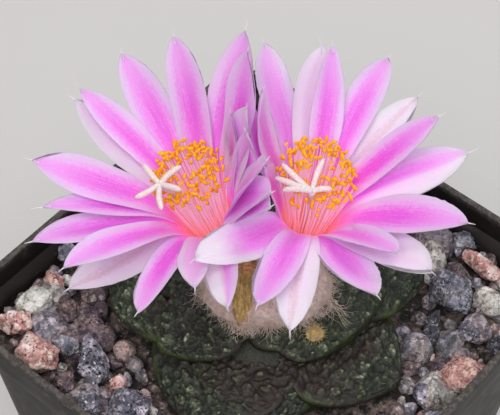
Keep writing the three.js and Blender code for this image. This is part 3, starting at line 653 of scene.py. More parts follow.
@dataclass(frozen=True)
class TepalFinish:
    """Satin petals with a painted glow of their own colour, strongest in the throat. The tint holds whiteness,
    depth of pink, brown of the midrib and a seed.
    """

    deep: Colour = srgb(0.89, 0.32, 0.84)
    pink: Colour = srgb(0.91, 0.61, 0.91)
    lilac: Colour = srgb(0.87, 0.75, 0.92)
    hot: Colour = srgb(0.96, 0.42, 0.80)
    salmon: Colour = srgb(0.99, 0.62, 0.66)
    white: Colour = srgb(0.90, 0.85, 0.905)
    midrib: Colour = srgb(0.84, 0.70, 0.69)
    painted_glow: float = 0.21

    def paint(self) -> bpy.types.Material:
        """Paints the tepals."""
        s = Shader("tepal_satin")
        u, v = s.chart()
        whiteness, depth, rib, seed = s.tint()
        across = (u * 2 - 1).maths("ABSOLUTE")
        streak = s.grain(1.0, 3, s.stretch(u * 30, v * 3.2, seed * 40), 0.6)
        vein = s.grain(1.0, 2, s.stretch(u * 90, v * 5, seed * 40), 0.5)
        blotch = s.grain(1.0, 2, s.stretch(u * 3, v * 5, seed * 17))
        frost = s.grain(1900, 3, rough=0.7)
        loose = across + (streak - 0.5) * 0.5 + (frost - 0.5) * 0.5
        stripe = (1 - loose.between(0.04, 0.64)) * v.between(0.36, 0.50) * (1 - v.between(0.66, 0.97))
        colour = s.mix(stripe * (0.45 + depth * 0.7), self.pink, self.deep)
        edge = (loose + v * 0.45 + (blotch - 0.5) * 0.45).between(0.62, 1.20)
        colour = s.mix(edge * (1 - depth * 0.25), colour, self.lilac)
        colour = s.mix(vein.between(0.48, 0.70) * 0.26, colour, self.lilac)
        white = s.mix((1 - loose.between(0.03, 0.24)) * rib, self.white, self.midrib)
        white = s.mix((1 - v.between(0.34, 0.62)) * 0.75, white, self.pink)
        colour = s.mix(whiteness, colour, white)
        claw = 1 - (v + (streak - 0.5) * 0.08).between(0.33, 0.52)
        colour = s.mix(claw * (1 - whiteness * 0.6), colour, self.hot)
        colour = s.mix(1 - v.between(0.26, 0.40), colour, self.salmon)
        # Pale specks: painted sparkle, standing for glints on the petals' surface.
        grit = s.grain(5200, 2, rough=0.7)
        colour = s.mix(grit.between(0.58, 0.72) * 0.34, colour, srgb(0.98, 0.90, 0.98))
        relief = s.bump(streak * 0.8 + vein * 0.7 + grit * 0.35, 0.11, 0.55)
        # Painted glow: the petals give off light of their own colour, faint over the blade and strongest in
        # the throat, standing in for light through the petals.
        throat = 1 - v.between(0.30, 0.66)
        painted_glow = s.mix(0.30 + throat * 0.70, (0.0, 0.0, 0.0, 1.0), colour)
        return s.finish(colour, 0.52 - grit * 0.12, relief, Subsurface_Weight=0.55, Subsurface_Scale=1.2 * MM,
                        Subsurface_Radius=(1.0, 0.6, 0.9), Sheen_Weight=0.12, Specular_IOR_Level=0.3,
                        Emission_Color=painted_glow, Emission_Strength=self.painted_glow)


@dataclass(frozen=True)
class TubeFinish:
    """The floral tube: pale greenish outside, salmon throat that gives off a faint painted glow."""

    def paint(self) -> bpy.types.Material:
        """Paints the tube by its own height, kept in the tint."""
        s = Shader("floral_tube")
        inside, height, _, _ = s.tint()
        outer = s.ramp(height, [(0.0, srgb(0.80, 0.82, 0.66)), (0.55, srgb(0.93, 0.82, 0.84)),
                                (1.0, srgb(0.93, 0.62, 0.84))])
        inner = s.ramp(height, [(0.0, srgb(0.98, 0.56, 0.42)), (0.5, srgb(1.0, 0.66, 0.64)),
                                (1.0, srgb(0.98, 0.60, 0.78))])
        colour = s.mix(inside, outer, inner)
        # Painted glow: the inside gives off light of its own colour.
        return s.finish(colour, 0.5, s.bump(s.grain(900, 3), 0.06, 0.5), Subsurface_Weight=0.5,
                        Subsurface_Scale=1.2 * MM, Emission_Color=inner, Emission_Strength=0.17)


@dataclass(frozen=True)
class PlainTissue:
    """Soft flower tissue of one colour with a lighter and a darker grain."""

    name: str
    colour: Colour
    shade: Colour
    scale: float
    depth: float

    def paint(self) -> bpy.types.Material:
        """Paints the tissue."""
        s = Shader(self.name)
        grain = s.grain(self.scale, 4, rough=0.65)
        colour = s.mix(grain.between(0.38, 0.66), self.shade, self.colour)
        return s.finish(colour, 0.6, s.bump(grain, self.depth), Subsurface_Weight=0.15,
                        Subsurface_Scale=0.4 * MM)


@dataclass(frozen=True)
class FilamentFinish:
    """Filaments, salmon at the foot and pale pink under the anthers, with a faint painted glow."""

    name: str
    foot: float = RIM_HEIGHT + 14
    top: float = RIM_HEIGHT + 31

    def paint(self) -> bpy.types.Material:
        """Paints the filaments by their height."""
        s = Shader(self.name)
        rise = s.height().between(self.foot * MM, self.top * MM)
        colour = s.ramp(rise, [(0.0, srgb(1.0, 0.62, 0.52)), (0.45, srgb(1.0, 0.72, 0.76)),
                               (1.0, srgb(1.0, 0.84, 0.90))])
        # Painted glow: the filaments give off light of their own colour.
        return s.finish(colour, 0.45, Subsurface_Weight=0.4, Subsurface_Scale=0.5 * MM, Emission_Color=colour,
                        Emission_Strength=0.14)


@dataclass(frozen=True)
class DriedFinish:
    """Straw-coloured dry tissue, striped along its length."""

    stripes: tuple[float, float, float] = (1900, 1900, 320)

    def paint(self) -> bpy.types.Material:
        """Paints the dried remnant."""
        s = Shader("dried_remnant")
        stripe = s.grain(1.0, 4, s.scaled(self.stripes), 0.65)
        colour = s.ramp(stripe, [(0.28, srgb(0.46, 0.32, 0.16)), (0.5, srgb(0.74, 0.59, 0.34)),
                                 (0.72, srgb(0.92, 0.81, 0.60))])
        return s.finish(colour, 0.7, s.bump(stripe + s.grain(1500, 3), 0.25), Subsurface_Weight=0.08,
                        Subsurface_Scale=0.4 * MM)


@dataclass
class Pot:
    """Square plastic pot: a thin wall under a straight collar, with four drain holes."""

    height: float = RIM_HEIGHT
    rim_half: float = 35.0
    base_half: float = 27.0
    body_half: float = 33.2
    collar: float = 5.8
    wall: float = 1.2
    floor: float = 2.0
    rim_corner: float = 8.0
    base_corner: float = 6.0
    arc_share: float = 0.6
    drain_radius: float = 4.0
    drain_offset: float = 15.0
    steps: int = 128

    def ring(self, half: float, corner: float, z: float, share: float) -> Vector:
        """Gives a point of a rounded square.

        Args:
            half: half its width.
            corner: its corner radius.
            z: its height.
            share: how far round, from 0 to 1.

        Returns:
            The point.
        """
        turn = (share % 1.0) * 4
        quarter, part = int(turn), turn - int(turn)
        angle = math.radians(90) * (quarter + min(1.0, part / self.arc_share))

        def on_corner(which: int) -> Vector:
            """Gives the point at this angle on a corner's arc."""
            x, y = (k * (half - corner) for k in CORNERS[which % 4])
            return Vector((x + corner * math.cos(angle), y + corner * math.sin(angle), z))

        if part <= self.arc_share:
            return on_corner(quarter)
        straight = (part - self.arc_share) / (1 - self.arc_share)
        return on_corner(quarter).lerp(on_corner(quarter + 1), straight)

    def wall_at(self, z: float) -> tuple[float, float]:
        """Gives the outer half width and corner radius of the tapered wall at a height."""
        share = z / (self.height - self.collar)
        corner = blend(self.base_corner, self.rim_corner - 0.8, share)
        return blend(self.base_half, self.body_half, share), corner

    def sections(self) -> list[tuple[float, float, float]]:
        """Lists half width, corner and height from the underside out, up, over the rim and down inside."""
        top, foot, wall = self.height, self.height - self.collar, self.wall
        base, base_arc = self.base_half, self.base_corner
        body, rim, arc = self.body_half, self.rim_half, self.rim_corner
        rows = [(base - cut, base_arc - cut, z) for cut, z in ((1.6, 0.0), (0.8, 0.0), (0.25, 0.25))]
        rows += [(*self.wall_at(z), z) for z in (0.9, 6, 12, 20, 28, 36, 44, 52, foot - 0.5)]
        rows += [(body + 0.15, arc - 0.7, foot)]
        lip = ((0.6, 0.05), (0.15, 0.3), (0, 0.8), (0, 2.2))
        rows += [(rim - cut, arc - cut, foot + up) for cut, up in lip]
        rows += [(rim, arc, top - 1.5), (rim - 0.02, arc, top - 0.45), (rim - 0.2, arc - 0.2, top - 0.08),
                 (rim - 0.45, arc - 0.45, top), (rim - wall + 0.3, arc - 0.9, top),
                 (rim - wall + 0.05, arc - 1.1, top - 0.15), (rim - wall, arc - wall, top - 0.6),
                 (rim - wall, arc - wall, foot + wall), (body - wall + 0.3, arc - 1.7, foot + 0.3),
                 (body - wall, arc - 2.0, foot - 0.4),
                 (base - wall + 0.35, base_arc - wall + 0.35, self.floor)]
        return rows

    def drills(self) -> bpy.types.Object:
        """Makes the four rods that cut the drain holes."""
        bm = new_mesh()
        for sx, sy in CORNERS:
            where = Matrix.Translation((sx * self.drain_offset, sy * self.drain_offset, 0))
            bmesh.ops.create_cone(bm, cap_ends=True, segments=40, radius1=self.drain_radius,
                                  radius2=self.drain_radius, depth=10, matrix=where)
        return placed("drills", poured("drills", bm))

    def build(self) -> bpy.types.Object:
        """Builds the pot and cuts its drain holes."""
        rows = self.sections()
        bm = new_mesh()

        def place(t: float, s: float) -> Vector:
            """Gives a point of the wall."""
            return self.ring(*rows[round(t * (len(rows) - 1))], s)

        wrap(bm, len(rows) - 1, self.steps, place)
        bmesh.ops.recalc_face_normals(bm, faces=bm.faces[:])
        blank = placed("pot_blank", poured("pot_blank", bm))
        drill = self.drills()
        cut = blank.modifiers.new("drain", "BOOLEAN")
        cut.object = drill
        cut.operation = "DIFFERENCE"
        cut.solver = "EXACT"
        made = settled(blank)
        bpy.data.objects.remove(drill)
        made.transform(Matrix.Scale(MM, 4))
        return piece("plant_pot", made, PotPlastic(self.height).paint(), "pot_plastic", ["pot"], sharp=38)


@dataclass
class Rosette:
    """The cactus: twelve tubercles in whorls on a turnip root.

    A tubercle's row is azimuth, tip reach, tip height, width, root height, and for some a sideways shift and
    bluntness. A green margin's row is u, v and reach. The root's line is radius and height over the rim.
    """

    rows: tuple = (
        (315, 14.2, 2.4, 20.8, 4.5, 5.2, 1), (84, 17, 2.2, 15.5, 4.6), (209.8, 17.9, 3.2, 13.7, 4.6),
        (17, 26.2, -1.2, 14, 2.4), (136, 22, -0.4, 18, 3.4), (270.5, 19.6, -3.1, 19.3, 1.2),
        (51, 25, -1.8, 19.5, 1.6), (174.3, 23.5, -1, 14.9, 1.5), (330.7, 23.4, -2.4, 21.1, 0.6),
        (103, 26, -2.8, 20, 1.0), (234.9, 21.2, -3.3, 22, 0.4), (156, 26.5, -3.6, 20, 0.4))
    underside: float = -6.6
    along_steps: int = 74
    around_steps: int = 84
    top_share: float = 0.76
    relief_seed: int = 7
    pale: tuple = (0.62, 0.15, 0.10, 0.30, 0.2, 0.02, 0.2, 0.75, 0.12, 0.1, 0.06, 0.3)
    green: tuple = (
        (-15.5, -12.6, 2.6), (-12.6, -13.3, 2.6), (-9.8, -13.2, 2.4), (9.8, -14.4, 2.6), (12.6, -11.9, 2.6),
        (8.6, -16.4, 2.6), (7.0, -18.6, 2.4), (10.2, -14.8, 2.4), (1.5, -11.0, 2.0), (-4.2, -10.4, 2.2),
        (19.0, -3.6, 2.2), (-17.2, -8.6, 1.8))
    root_line: tuple = ((0.3, 3.6), (3, 3.3), (6, 2.6), (10, 0.2), (13, -3), (16, -9), (15, -15), (11, -24),
                        (6, -33), (2, -39), (0.3, -41))

    @staticmethod
    def warts(at: Vector) -> float:
        """Gives the height of the fissured skin at a point, about 0 to 1."""
        warp = noise.noise_vector(at * 0.35) * 0.9
        coarse = noise.voronoi((at + warp) * 0.52)[0]
        fine = noise.voronoi((at + warp * 0.6) * 1.15)[0]
        ridge = min(1.0, (coarse[1] - coarse[0]) * 2.2)
        beads = min(1.0, (fine[1] - fine[0]) * 2.4)
        soft = noise.fractal(at * 0.8, 0.8, 2.1, 3) * 0.5 + 0.5
        return max(0.0, min(1.0, 0.44 * ridge + 0.34 * beads + 0.34 * soft - 0.08))

    @staticmethod
    def half_width(t: float, width: float, blunt: float) -> float:
        """Gives half a tubercle's width at a share of its length."""
        widest, least = 0.4, 0.5
        if t < widest:
            return width / 2 * (0.62 + 0.38 * math.sin(math.pi * t / (2 * widest))) + least
        narrowing = ((t - widest) / (1 - widest)) ** (1.8 + 1.7 * blunt)
        return width / 2 * max(0.0, 1 - narrowing) ** (0.85 - 0.25 * blunt) + least

    def greenness(self, at: Vector) -> float:
        """Tells how bright green the smooth margin is at a point."""
        best = 0.0
        for u, v, reach in self.green:
            spot = PLAN.point(u, v, 0)
            best = max(best, 1 - ease(0.4, 1.3, math.hypot(at.x - spot.x, at.y - spot.y) / reach))
        return best

    def tubercle(self, bm: bmesh.types.BMesh, row: Sequence[float], pale: float) -> None:
        """Adds one tubercle.

        Args:
            bm: the rosette's mesh.
            row: its row of the table.
            pale: how light its skin is.
        """
        azimuth, reach, tip, width, root, shift, blunt = (*row, 0.0, 0.0)[:7]
        a = math.radians(azimuth)
        out, side = PLAN.way(math.cos(a), math.sin(a)), PLAN.way(-math.sin(a), math.cos(a))
        centre = PLAN.centre()
        start = 0.36 * reach - 2

        def section(t: float, s: float) -> tuple[float, float, float, float]:
            """Gives across, along, height and the smooth margin at a share along and around."""
            along = blend(start, reach, t)
            share = along / reach
            top = blend(root, tip, share) + 1.1 * math.sin(math.pi * min(1.0, share))
            half = self.half_width(t, width, blunt)
            thick = min(blend(6.5, 2.2, t), top - self.underside)
            edge = min(1.9, thick * 0.6)
            if s <= self.top_share:
                q = 1 - 2 * s / self.top_share
                q = math.copysign(abs(q) ** 0.86, q)
                shoulder = edge * abs(q) ** 9 * 0.55
                margin = max(ease(0.86, 0.98, abs(q)), ease(0.93, 0.995, t))
                return q * half, along, top - 0.5 * q * q - shoulder, margin
            k = (s - self.top_share) / (1 - self.top_share)
            q = 2 * k - 1
            down = blend(0.5 + edge * 0.55, thick, math.sin(math.pi * k) ** 0.55)
            wide = q * half * (1 - 0.06 * math.sin(math.pi * k))
            return wide, along, top - down, 1.0 - ease(0.05, 0.3, min(k, 1 - k))

        def relief(t: float, s: float) -> tuple[Vector, float, float]:
            """Gives the plain point, the wart height and the margin there."""
            across, along, height, margin = section(t, s)
            at = centre + out * along + side * (across + shift * min(1.0, t * 2)) + Vector((0, 0, height))
            if s > self.top_share:
                return at, 0.2, margin
            return at, self.warts(at), margin

        def place(t: float, s: float) -> Vector:
            """Gives a point of the skin."""
            at, wart, margin = relief(t, s)
            if s > self.top_share:
                return at
            q = 1 - 2 * s / self.top_share
            furrow = 0.35 * math.exp(-(q * 9) ** 2) * ease(0.15, 0.4, t) * (1 - ease(0.8, 0.95, t))
            lift = (wart - 0.52) * 1.15 * (1 - margin) - furrow
            return at + Vector((0, 0, lift)) + (out * 0.25 + side * q * 0.3) * (wart - 0.5) * (1 - margin)

        def tint(t: float, s: float) -> tuple[float, float, float, float]:
            """Gives wart height, margin, a brown tint that is partly painted shade, and lightness."""
            at, wart, margin = relief(t, s)
            along = section(t, s)[1]
            # Partly painted shade: the inner part of the lower tubercles, which lies under the upper ones, and
            # the margins along the edges turn brown.
            low = 1.0 if root < 2 else 0.15
            brown = (1 - ease(0.62, 0.84, along / reach + 0.12 * noise.noise(at * 0.3))) * low
            band = margin * self.greenness(at)
            return wart, band, max(margin * 0.8, brown), pale * (0.6 + 0.4 * noise.noise(at * 0.4))

        wrap(bm, self.along_steps, self.around_steps, place, tint)

    def core(self, bm: bmesh.types.BMesh) -> None:
        """Adds the turnip root and the dome that the tubercles grow from."""
        centre = PLAN.centre()

        def place(t: float, s: float) -> Vector:
            """Gives a point of the root."""
            r, w = trace(self.root_line, t)
            a = math.tau * (s % 1.0)
            at = Vector((math.cos(a) * r, math.sin(a) * r, w))
            return centre + at * (1 + 0.02 * noise.noise(at * 0.4))

        wrap(bm, 40, 48, place, lambda t, s: (0.4, 0.0, 0.5, 0.2))

    def build(self) -> bpy.types.Object:
        """Builds the rosette as one piece, with the noise of its relief seeded."""
        noise.seed_set(self.relief_seed)
        bm = new_mesh()
        self.core(bm)
        for row, pale in zip(self.rows, self.pale):
            self.tubercle(bm, row, pale)
        return piece("cactus_rosette", bm, CactusSkin().paint(), "cactus_skin", ["cactus_body"])

    def beyond(self, x: float, y: float) -> float:
        """Tells how far a point of the pot lies outside the rosette's outline."""
        centre = PLAN.centre()
        x, y = x - centre.x, y - centre.y
        best = math.inf
        for row in self.rows:
            azimuth, reach, _, width, _, shift, blunt = (*row, 0.0, 0.0)[:7]
            a = math.radians(azimuth) + PLAN.turn
            s = x * math.cos(a) + y * math.sin(a)
            across = abs(y * math.cos(a) - x * math.sin(a) - shift)
            narrowing = max(0.0, s / reach - 0.5) * 2
            half = width / 2 * (1.0 if blunt else math.sqrt(max(0.0, 1 - narrowing))) + 0.5
            if s < 0:
                here = math.hypot(x, y) - 14
            elif s > reach:
                here = math.hypot(s - reach, across)
            else:
                here = across - half
            best = min(best, here)
        return best


@dataclass
class Axis:
    """Where a bloom stands and how it leans."""

    u: float
    v: float
    w: float
    lean_left: float
    lean_front: float
    base: Vector = field(init=False)
    up: Vector = field(init=False)
    right: Vector = field(init=False)
    away: Vector = field(init=False)

    def __post_init__(self) -> None:
        """Works out the bloom's own directions."""
        self.base = PLAN.point(self.u, self.v, self.w)
        left, front = (math.tan(math.radians(x)) for x in (self.lean_left, self.lean_front))
        self.up = PLAN.way(-left, -front, 1).normalized()
        right = PLAN.way(1, 0)
        self.right = (right - self.up * right.dot(self.up)).normalized()
        self.away = self.up.cross(self.right)

    def out(self, azimuth: float) -> Vector:
        """Gives the direction out from the axis at an azimuth."""
        return self.right * math.cos(azimuth) + self.away * math.sin(azimuth)

    def side(self, azimuth: float) -> Vector:
        """Gives the direction along the turn at an azimuth."""
        return self.away * math.cos(azimuth) - self.right * math.sin(azimuth)

    def at(self, radius: float, azimuth: float, height: float) -> Vector:
        """Gives a point at a radius and azimuth round the axis and a height along it."""
        return self.base + self.out(azimuth) * radius + self.up * height


class Tone(Enum):
    """A tepal's colouring: whiteness, depth of pink, brown midrib, white to one side and towards the tip."""

    PINK = (0.0, 0.55, 0.0, 0.0, 0.0)
    STRONG = (0.0, 0.95, 0.0, 0.0, 0.0)
    DEEP = (0.0, 1.25, 0.0, 0.0, 0.0)
    INTENSE = (0.0, 2.0, 0.0, 0.0, 0.0)
    SOFT = (0.10, 0.25, 0.0, 0.0, 0.15)
    LAVENDER = (0.28, 0.10, 0.0, 0.0, 0.1)
    MARGIN = (0.05, 0.50, 0.0, 0.0, 0.30)
    WHITE = (0.92, 0.1, 0.55, 0.0, 0.0)
    RIBBED = (0.86, 0.1, 0.5, 0.0, 0.0)
    GREY = (0.86, 0.1, 0.12, 0.0, 0.0)
    PALE = (0.80, 0.2, 0.1, 0.0, 0.1)
    STRIPED = (0.10, 0.5, 0.1, -0.95, 0.0)
    EDGED = (0.0, 2.0, 0.0, 0.15, 0.0)
    FADED = (0.0, 0.60, 0.0, -0.75, 0.2)
    SHADED = (0.0, 0.40, 0.0, 0.0, 1.2)
    CURLED = (0.0, 1.6, 0.0, 0.0, 0.35)
    SALMON = (0.1, 0.9, 0.6, 0.0, 0.1)


Tepal = tuple[float, float, float, float, float, float, float, Tone]


@dataclass
class Bloom:
    """One open flower on its tube.

    A tepal's row is azimuth, opening, length, width, curl, swing, roll and tone. The share of it that the tube
    hides is left out. The stamens shift and spread by millimetres, between their highest and lowest height.
    A stigma lobe is azimuth, rise and reach, and the style is its two shifts and its height.
    """

    name: str
    axis: Axis
    tepals: Sequence[Tepal]
    shift: tuple[float, float]
    spread: float
    heights: tuple[float, float]
    lobes: Sequence[tuple[float, float, float]]
    style: tuple[float, float, float]
    seed: int
    tube_length: float = 9.0
    tube_radius: float = 2.4
    tube_angle: float = 10.0
    anthers: int = 190
    rows: int = 46
    around: int = 28
    hidden: float = 0.24

    def midline(self, opening: float, length: float, curl: float) -> list[tuple[float, float, float]]:
        """Gives radius, height and lean along a tepal, claw up the tube and then out."""
        total, steps = self.tube_length + length, 40

        def lean(t: float) -> float:
            """Gives the lean from the axis at a share along."""
            done = t * total
            if done < self.tube_length:
                return math.radians(self.tube_angle)
            f = (done - self.tube_length) / length
            opened = (opening - self.tube_angle) * ease(0, 0.45, f)
            return math.radians(self.tube_angle + opened + curl * f * f)

        r, h = self.tube_radius, 0.0
        line = [(r, h, lean(0))]
        for i in range(1, steps + 1):
            mid = (lean((i - 1) / steps) + lean(i / steps)) / 2
            r += math.sin(mid) * total / steps
            h += math.cos(mid) * total / steps
            line.append((r, h, lean(i / steps)))
        return line

    @staticmethod
    def half_width(t: float, width: float) -> float:
        """Gives half a tepal's width at a share of its length."""
        widest = 0.72
        if t < widest:
            return width / 2 * (0.16 + 0.84 * math.sin(math.pi / 2 * t / widest) ** 2.8)
        return width / 2 * max(0.0, 1 - ((t - widest) / (1 - widest)) ** 2.4) ** 0.78

    @staticmethod
    def across(s: float) -> float:
        """Gives the share across, -1 to 1, from the share round a tepal: over its face, then back under."""
        return 4 * s - 1 if s <= 0.5 else 3 - 4 * s

    def bristle(self, bm: bmesh.types.BMesh, foot: Vector, way: Vector, reach: float) -> None:
        """Adds the bristle at a tepal's tip.

        Args:
            bm: the bloom's mesh.
            foot: where it leaves the tepal.
            way: the way that it points.
            reach: its length.
        """
        turn = way.to_track_quat("Z", "Y").to_matrix().to_4x4()
        spike = Matrix.Translation(foot + way * (reach / 2 - 0.55)) @ turn
        made = bmesh.ops.create_cone(bm, cap_ends=True, segments=6, radius1=0.17, radius2=0.03,
                                     depth=reach + 1.0, matrix=spike)["verts"]
        shades, uv = bm.verts.layers.float_color[TINT], bm.loops.layers.uv.active
        for vert in made:
            vert[shades] = (0.8, 0.0, 0.0, 0.5)
        for loop in (x for f in {f for v in made for f in v.link_faces} for x in f.loops):
            loop[uv].uv = (0.9, 0.95)

    def tepal(self, bm: bmesh.types.BMesh, row: Tepal, order: int) -> None:
        """Adds one tepal with its bristle.

        Args:
            bm: the bloom's mesh.
            row: the tepal.
            order: its place in the list, for its small differences.
        """
        azimuth, opening, length, width, curl, swing, roll, tone = row
        line = self.midline(opening, length, curl)
        draw = Random(self.seed * 97 + order)
        phase, ruffle = draw.random() * 20, 0.16 + 0.16 * draw.random()

        def frame(t: float) -> tuple[float, float, float, float]:
            """Gives radius, height, lean and azimuth at a share of the whole length."""
            r, h, lean = trace(line, min(t, 0.9999))
            return r, h, lean, math.radians(azimuth + swing * t * t)

        def rise(share: float) -> float:
            """Gives the share of the whole length, with closer rows towards the tip."""
            return blend(self.hidden, 1.0, 1 - (1 - share) ** 1.35)

        def place(share: float, s: float) -> Vector:
            """Gives a point of the skin, over the face first and back under it."""
            t = rise(share)
            r, h, lean, a = frame(t)
            flat = self.axis.up * math.sin(lean) - self.axis.out(a) * math.cos(lean)
            twist = math.radians(roll) * ease(0, 0.55, t)
            across = self.axis.side(a) * math.cos(twist) + flat * math.sin(twist)
            face = flat * math.cos(twist) - self.axis.side(a) * math.sin(twist)
            side = 1 if s < 0.25 or s > 0.75 else 5
            teeth = 0.05 * noise.noise(Vector((t * 70, phase, side))) * ease(0.6, 0.9, t)
            half = max(0.12, self.half_width(t, width) * (1 + teeth))
            q = self.across(s)
            q = math.sin(q * math.pi / 2) * 0.5 + q * 0.5
            cup = 0.16 * half * q * q
            wave = ruffle * q * abs(q) * math.sin(t * 13 + phase) * ease(0.4, 0.7, t)
            body = (0.42 * (1 - abs(q) ** 1.6) + 0.16) * blend(1.0, 0.5, t)
            groove = 0.14 * math.exp(-(q * 7) ** 2) * (1 - ease(0.75, 1.0, t))
            ribs = 0.035 * math.cos(q * 15 + noise.noise(Vector((t * 3, q, phase))) * 2) * (1 - abs(q))
            up = cup + wave + 0.25 + (ribs - groove if s <= 0.5 else -body)
            return self.axis.at(r, a, h) + across * (q * half) + face * up

        def chart(share: float, s: float) -> tuple[float, float]:
            """Gives the share across and the share along."""
            t = rise(share)
            return (2 * s, t) if s <= 0.5 else (2 - 2 * s, t)

        white, depth, rib, one_side, outer = tone.value
        seed, shape = draw.random(), draw.random() * 30

        def tint(share: float, s: float) -> tuple[float, float, float, float]:
            """Gives whiteness, depth of pink, brown of the midrib and the seed."""
            q = self.across(s) + 0.25 * noise.noise(Vector((share * 2.5, shape, 0)))
            pale = white + abs(one_side) * ease(0.0, 0.35, q * math.copysign(1, one_side) + 0.1)
            uneven = share + 0.1 * noise.noise(Vector((q * 2, shape, 3)))
            pale += outer * ease(0.62 - 0.14 * outer, 0.92 - 0.08 * outer, uneven)
            return min(1.0, pale), depth, rib, seed

        wrap(bm, self.rows, self.around, place, tint, chart)
        r, h, lean, a = frame(1.0)
        tip = self.axis.at(r, a, h)
        way = (self.axis.out(a) * math.sin(lean) + self.axis.up * math.cos(lean)).normalized()
        way = (way + self.axis.side(a) * (draw.random() - 0.5) * 0.5).normalized()
        face = self.axis.up * math.sin(lean) - self.axis.out(a) * math.cos(lean)
        self.bristle(bm, tip + face * 0.2, way, 1.1 + 0.7 * draw.random())

    def tube(self) -> bpy.types.Object:
        """Builds the fluted tube, closed at its foot and open at its throat."""
        grow, radius = math.tan(math.radians(self.tube_angle)), self.tube_radius
        outer = [(0.2, -5.5), (1.6, -5.4), (2.3, -4), (2.8, 0), (3.35, 3), (3.95, 6), (4.45, 9), (4.9, 11)]
        inner = [(4.3, 11.2), (radius + 9 * grow - 0.45, 9), (radius + 5 * grow - 0.5, 5),
                 (radius + grow - 0.5, 1), (0.8, 0.6), (0.2, 0.5)]
        line = outer + inner
        bm = new_mesh()

        def place(t: float, s: float) -> Vector:
            """Gives a point of the wall."""
            r, h = trace(line, t)
            a = math.tau * (s % 1.0)
            outside = t * (len(line) - 1) < len(outer)
            flute = 0.10 * math.cos(a * 17) * ease(0, 4, h) if outside else 0.03 * math.cos(a * 30)
            return self.axis.at(max(0.15, r + flute * min(1.0, r)), a, h)

        def tint(t: float, s: float) -> tuple[float, float, float, float]:
            """Gives inside, height up the tube, and two spare values."""
            inside = ease(len(outer) - 1.2, len(outer) - 0.2, t * (len(line) - 1))
            return inside, max(0.0, trace(line, t)[1] / 11), 0.0, 1.0

        wrap(bm, 78, 136, place, tint)
        return piece(f"{self.name}_tube", bm, TubeFinish().paint(), "tepal")

    def stamens(self) -> None:
        """Builds the filaments and their two-lobed anthers."""
        draw = Random(self.seed)
        bm = new_mesh()
        lines: list[Strand] = []
        high, low = self.heights
        for i in range(self.anthers):
            a = i * GOLDEN
            f = math.sqrt((i + 0.5) / self.anthers)
            foot, start = blend(1.3, 2.9, f), blend(2.0, 7.0, f)
            height = blend(high, low, f) + (draw.random() - 0.5) * 3.0
            radius = 1.2 + (self.spread - 0.2) * f + (draw.random() - 0.5) * 0.9
            turn = a + (draw.random() - 0.5) * 0.3
            bow = draw.random() * 0.5

            def at(k: float) -> Vector:
                """Gives a point of the filament."""
                r = blend(foot, radius, k ** (1.35 + bow))
                shift = self.axis.right * self.shift[0] * k * k + self.axis.away * self.shift[1] * k * k
                return self.axis.at(r, turn, blend(start, height, k)) + shift

            lines.append([(at(k / 6), 0.085 - 0.03 * k / 6) for k in range(7)])
            self.anther(bm, at(1.0), draw)
        anther = PlainTissue(f"{self.name}_anther", srgb(1.0, 0.78, 0.04), srgb(0.98, 0.62, 0.0), 3200, 0.05)
        piece(f"{self.name}_anthers", bm, anther.paint(), "stamen", [f"{self.name}_stamens"])
        paint = FilamentFinish(f"{self.name}_filament").paint()
        piece(f"{self.name}_filaments", strands(lines), paint, "stamen")

    @staticmethod
    def anther(bm: bmesh.types.BMesh, top: Vector, draw: Random) -> None:
        """Adds one bean-shaped anther of a few dozen faces.

        Args:
            bm: the mesh that it joins.
            top: where its filament ends.
            draw: the repeatable draws.
        """
        lean = (draw.random() - 0.5, draw.random() - 0.5, draw.random() - 0.5)
        spin = Quaternion(lean, draw.random() * 3.0)
        size = 0.85 + 0.3 * draw.random()
        bend = (draw.random() - 0.5) * 0.5
        for vert in bmesh.ops.create_uvsphere(bm, u_segments=7, v_segments=6, radius=1)["verts"]:
            p = vert.co.copy()
            pinch = 1 - 0.22 * math.exp(-(p.z * 2.4) ** 2)
            bow = bend * 0.2 * (1 - p.z * p.z)
            vert.co = top + spin @ (Vector((p.x * 0.29 * pinch + bow, p.y * 0.27, p.z * 0.54)) * size)

    def pistil(self) -> bpy.types.Object:
        """Builds the style and its spread stigma lobes."""
        bm = new_mesh()
        axis = self.axis
        shift_u, shift_v, height = self.style
        lobe_steps, style_steps = (26, 14), (30, 12)

        def style(k: float) -> Vector:
            """Gives a point of the style's middle."""
            return axis.at(0, 0, blend(1.0, height, k)) + (axis.right * shift_u + axis.away * shift_v) * k * k

        def style_radius(k: float) -> float:
            """Gives the style's radius."""
            return 0.42 + 0.08 * k

        def lobe_radius(k: float) -> float:
            """Gives a lobe's radius."""
            return 0.48 * (0.72 + 0.5 * k - 0.25 * k * k) * math.sqrt(max(0.02, 1 - k ** 7))

        def rod(points: Callable[[float], Vector], radius: Callable[[float], float], rows: int,
                around: int) -> None:
            """Adds a rod along a line."""
            def place(t: float, s: float) -> Vector:
                """Gives a point of the rod's skin."""
                here, step = points(t), 0.02
                way = (points(min(1.0, t + step)) - points(max(0.0, t - step))).normalized()
                across = way.cross(axis.away).normalized()
                down = way.cross(across)
                a, r = math.tau * (s % 1.0), radius(t)
                skin = here + across * math.cos(a) * r + down * math.sin(a) * r
                return skin + (skin - here) * 0.12 * noise.noise(skin * 5)
            wrap(bm, rows, around, place)

        rod(style, style_radius, *style_steps)
        top = style(1.0)
        for azimuth, rise, reach in self.lobes:
            out, lift = axis.out(math.radians(azimuth)), math.tan(math.radians(rise))

            def lobe(k: float, out: Vector = out, lift: float = lift, reach: float = reach) -> Vector:
                """Gives a point of a lobe's middle."""
                bend = 0.25 * math.sin(k * math.pi) * math.sin(reach * 7)
                up = axis.up * (reach * lift * (k - 0.35 * k * k))
                return top + out * reach * k + up + axis.up.cross(out) * bend

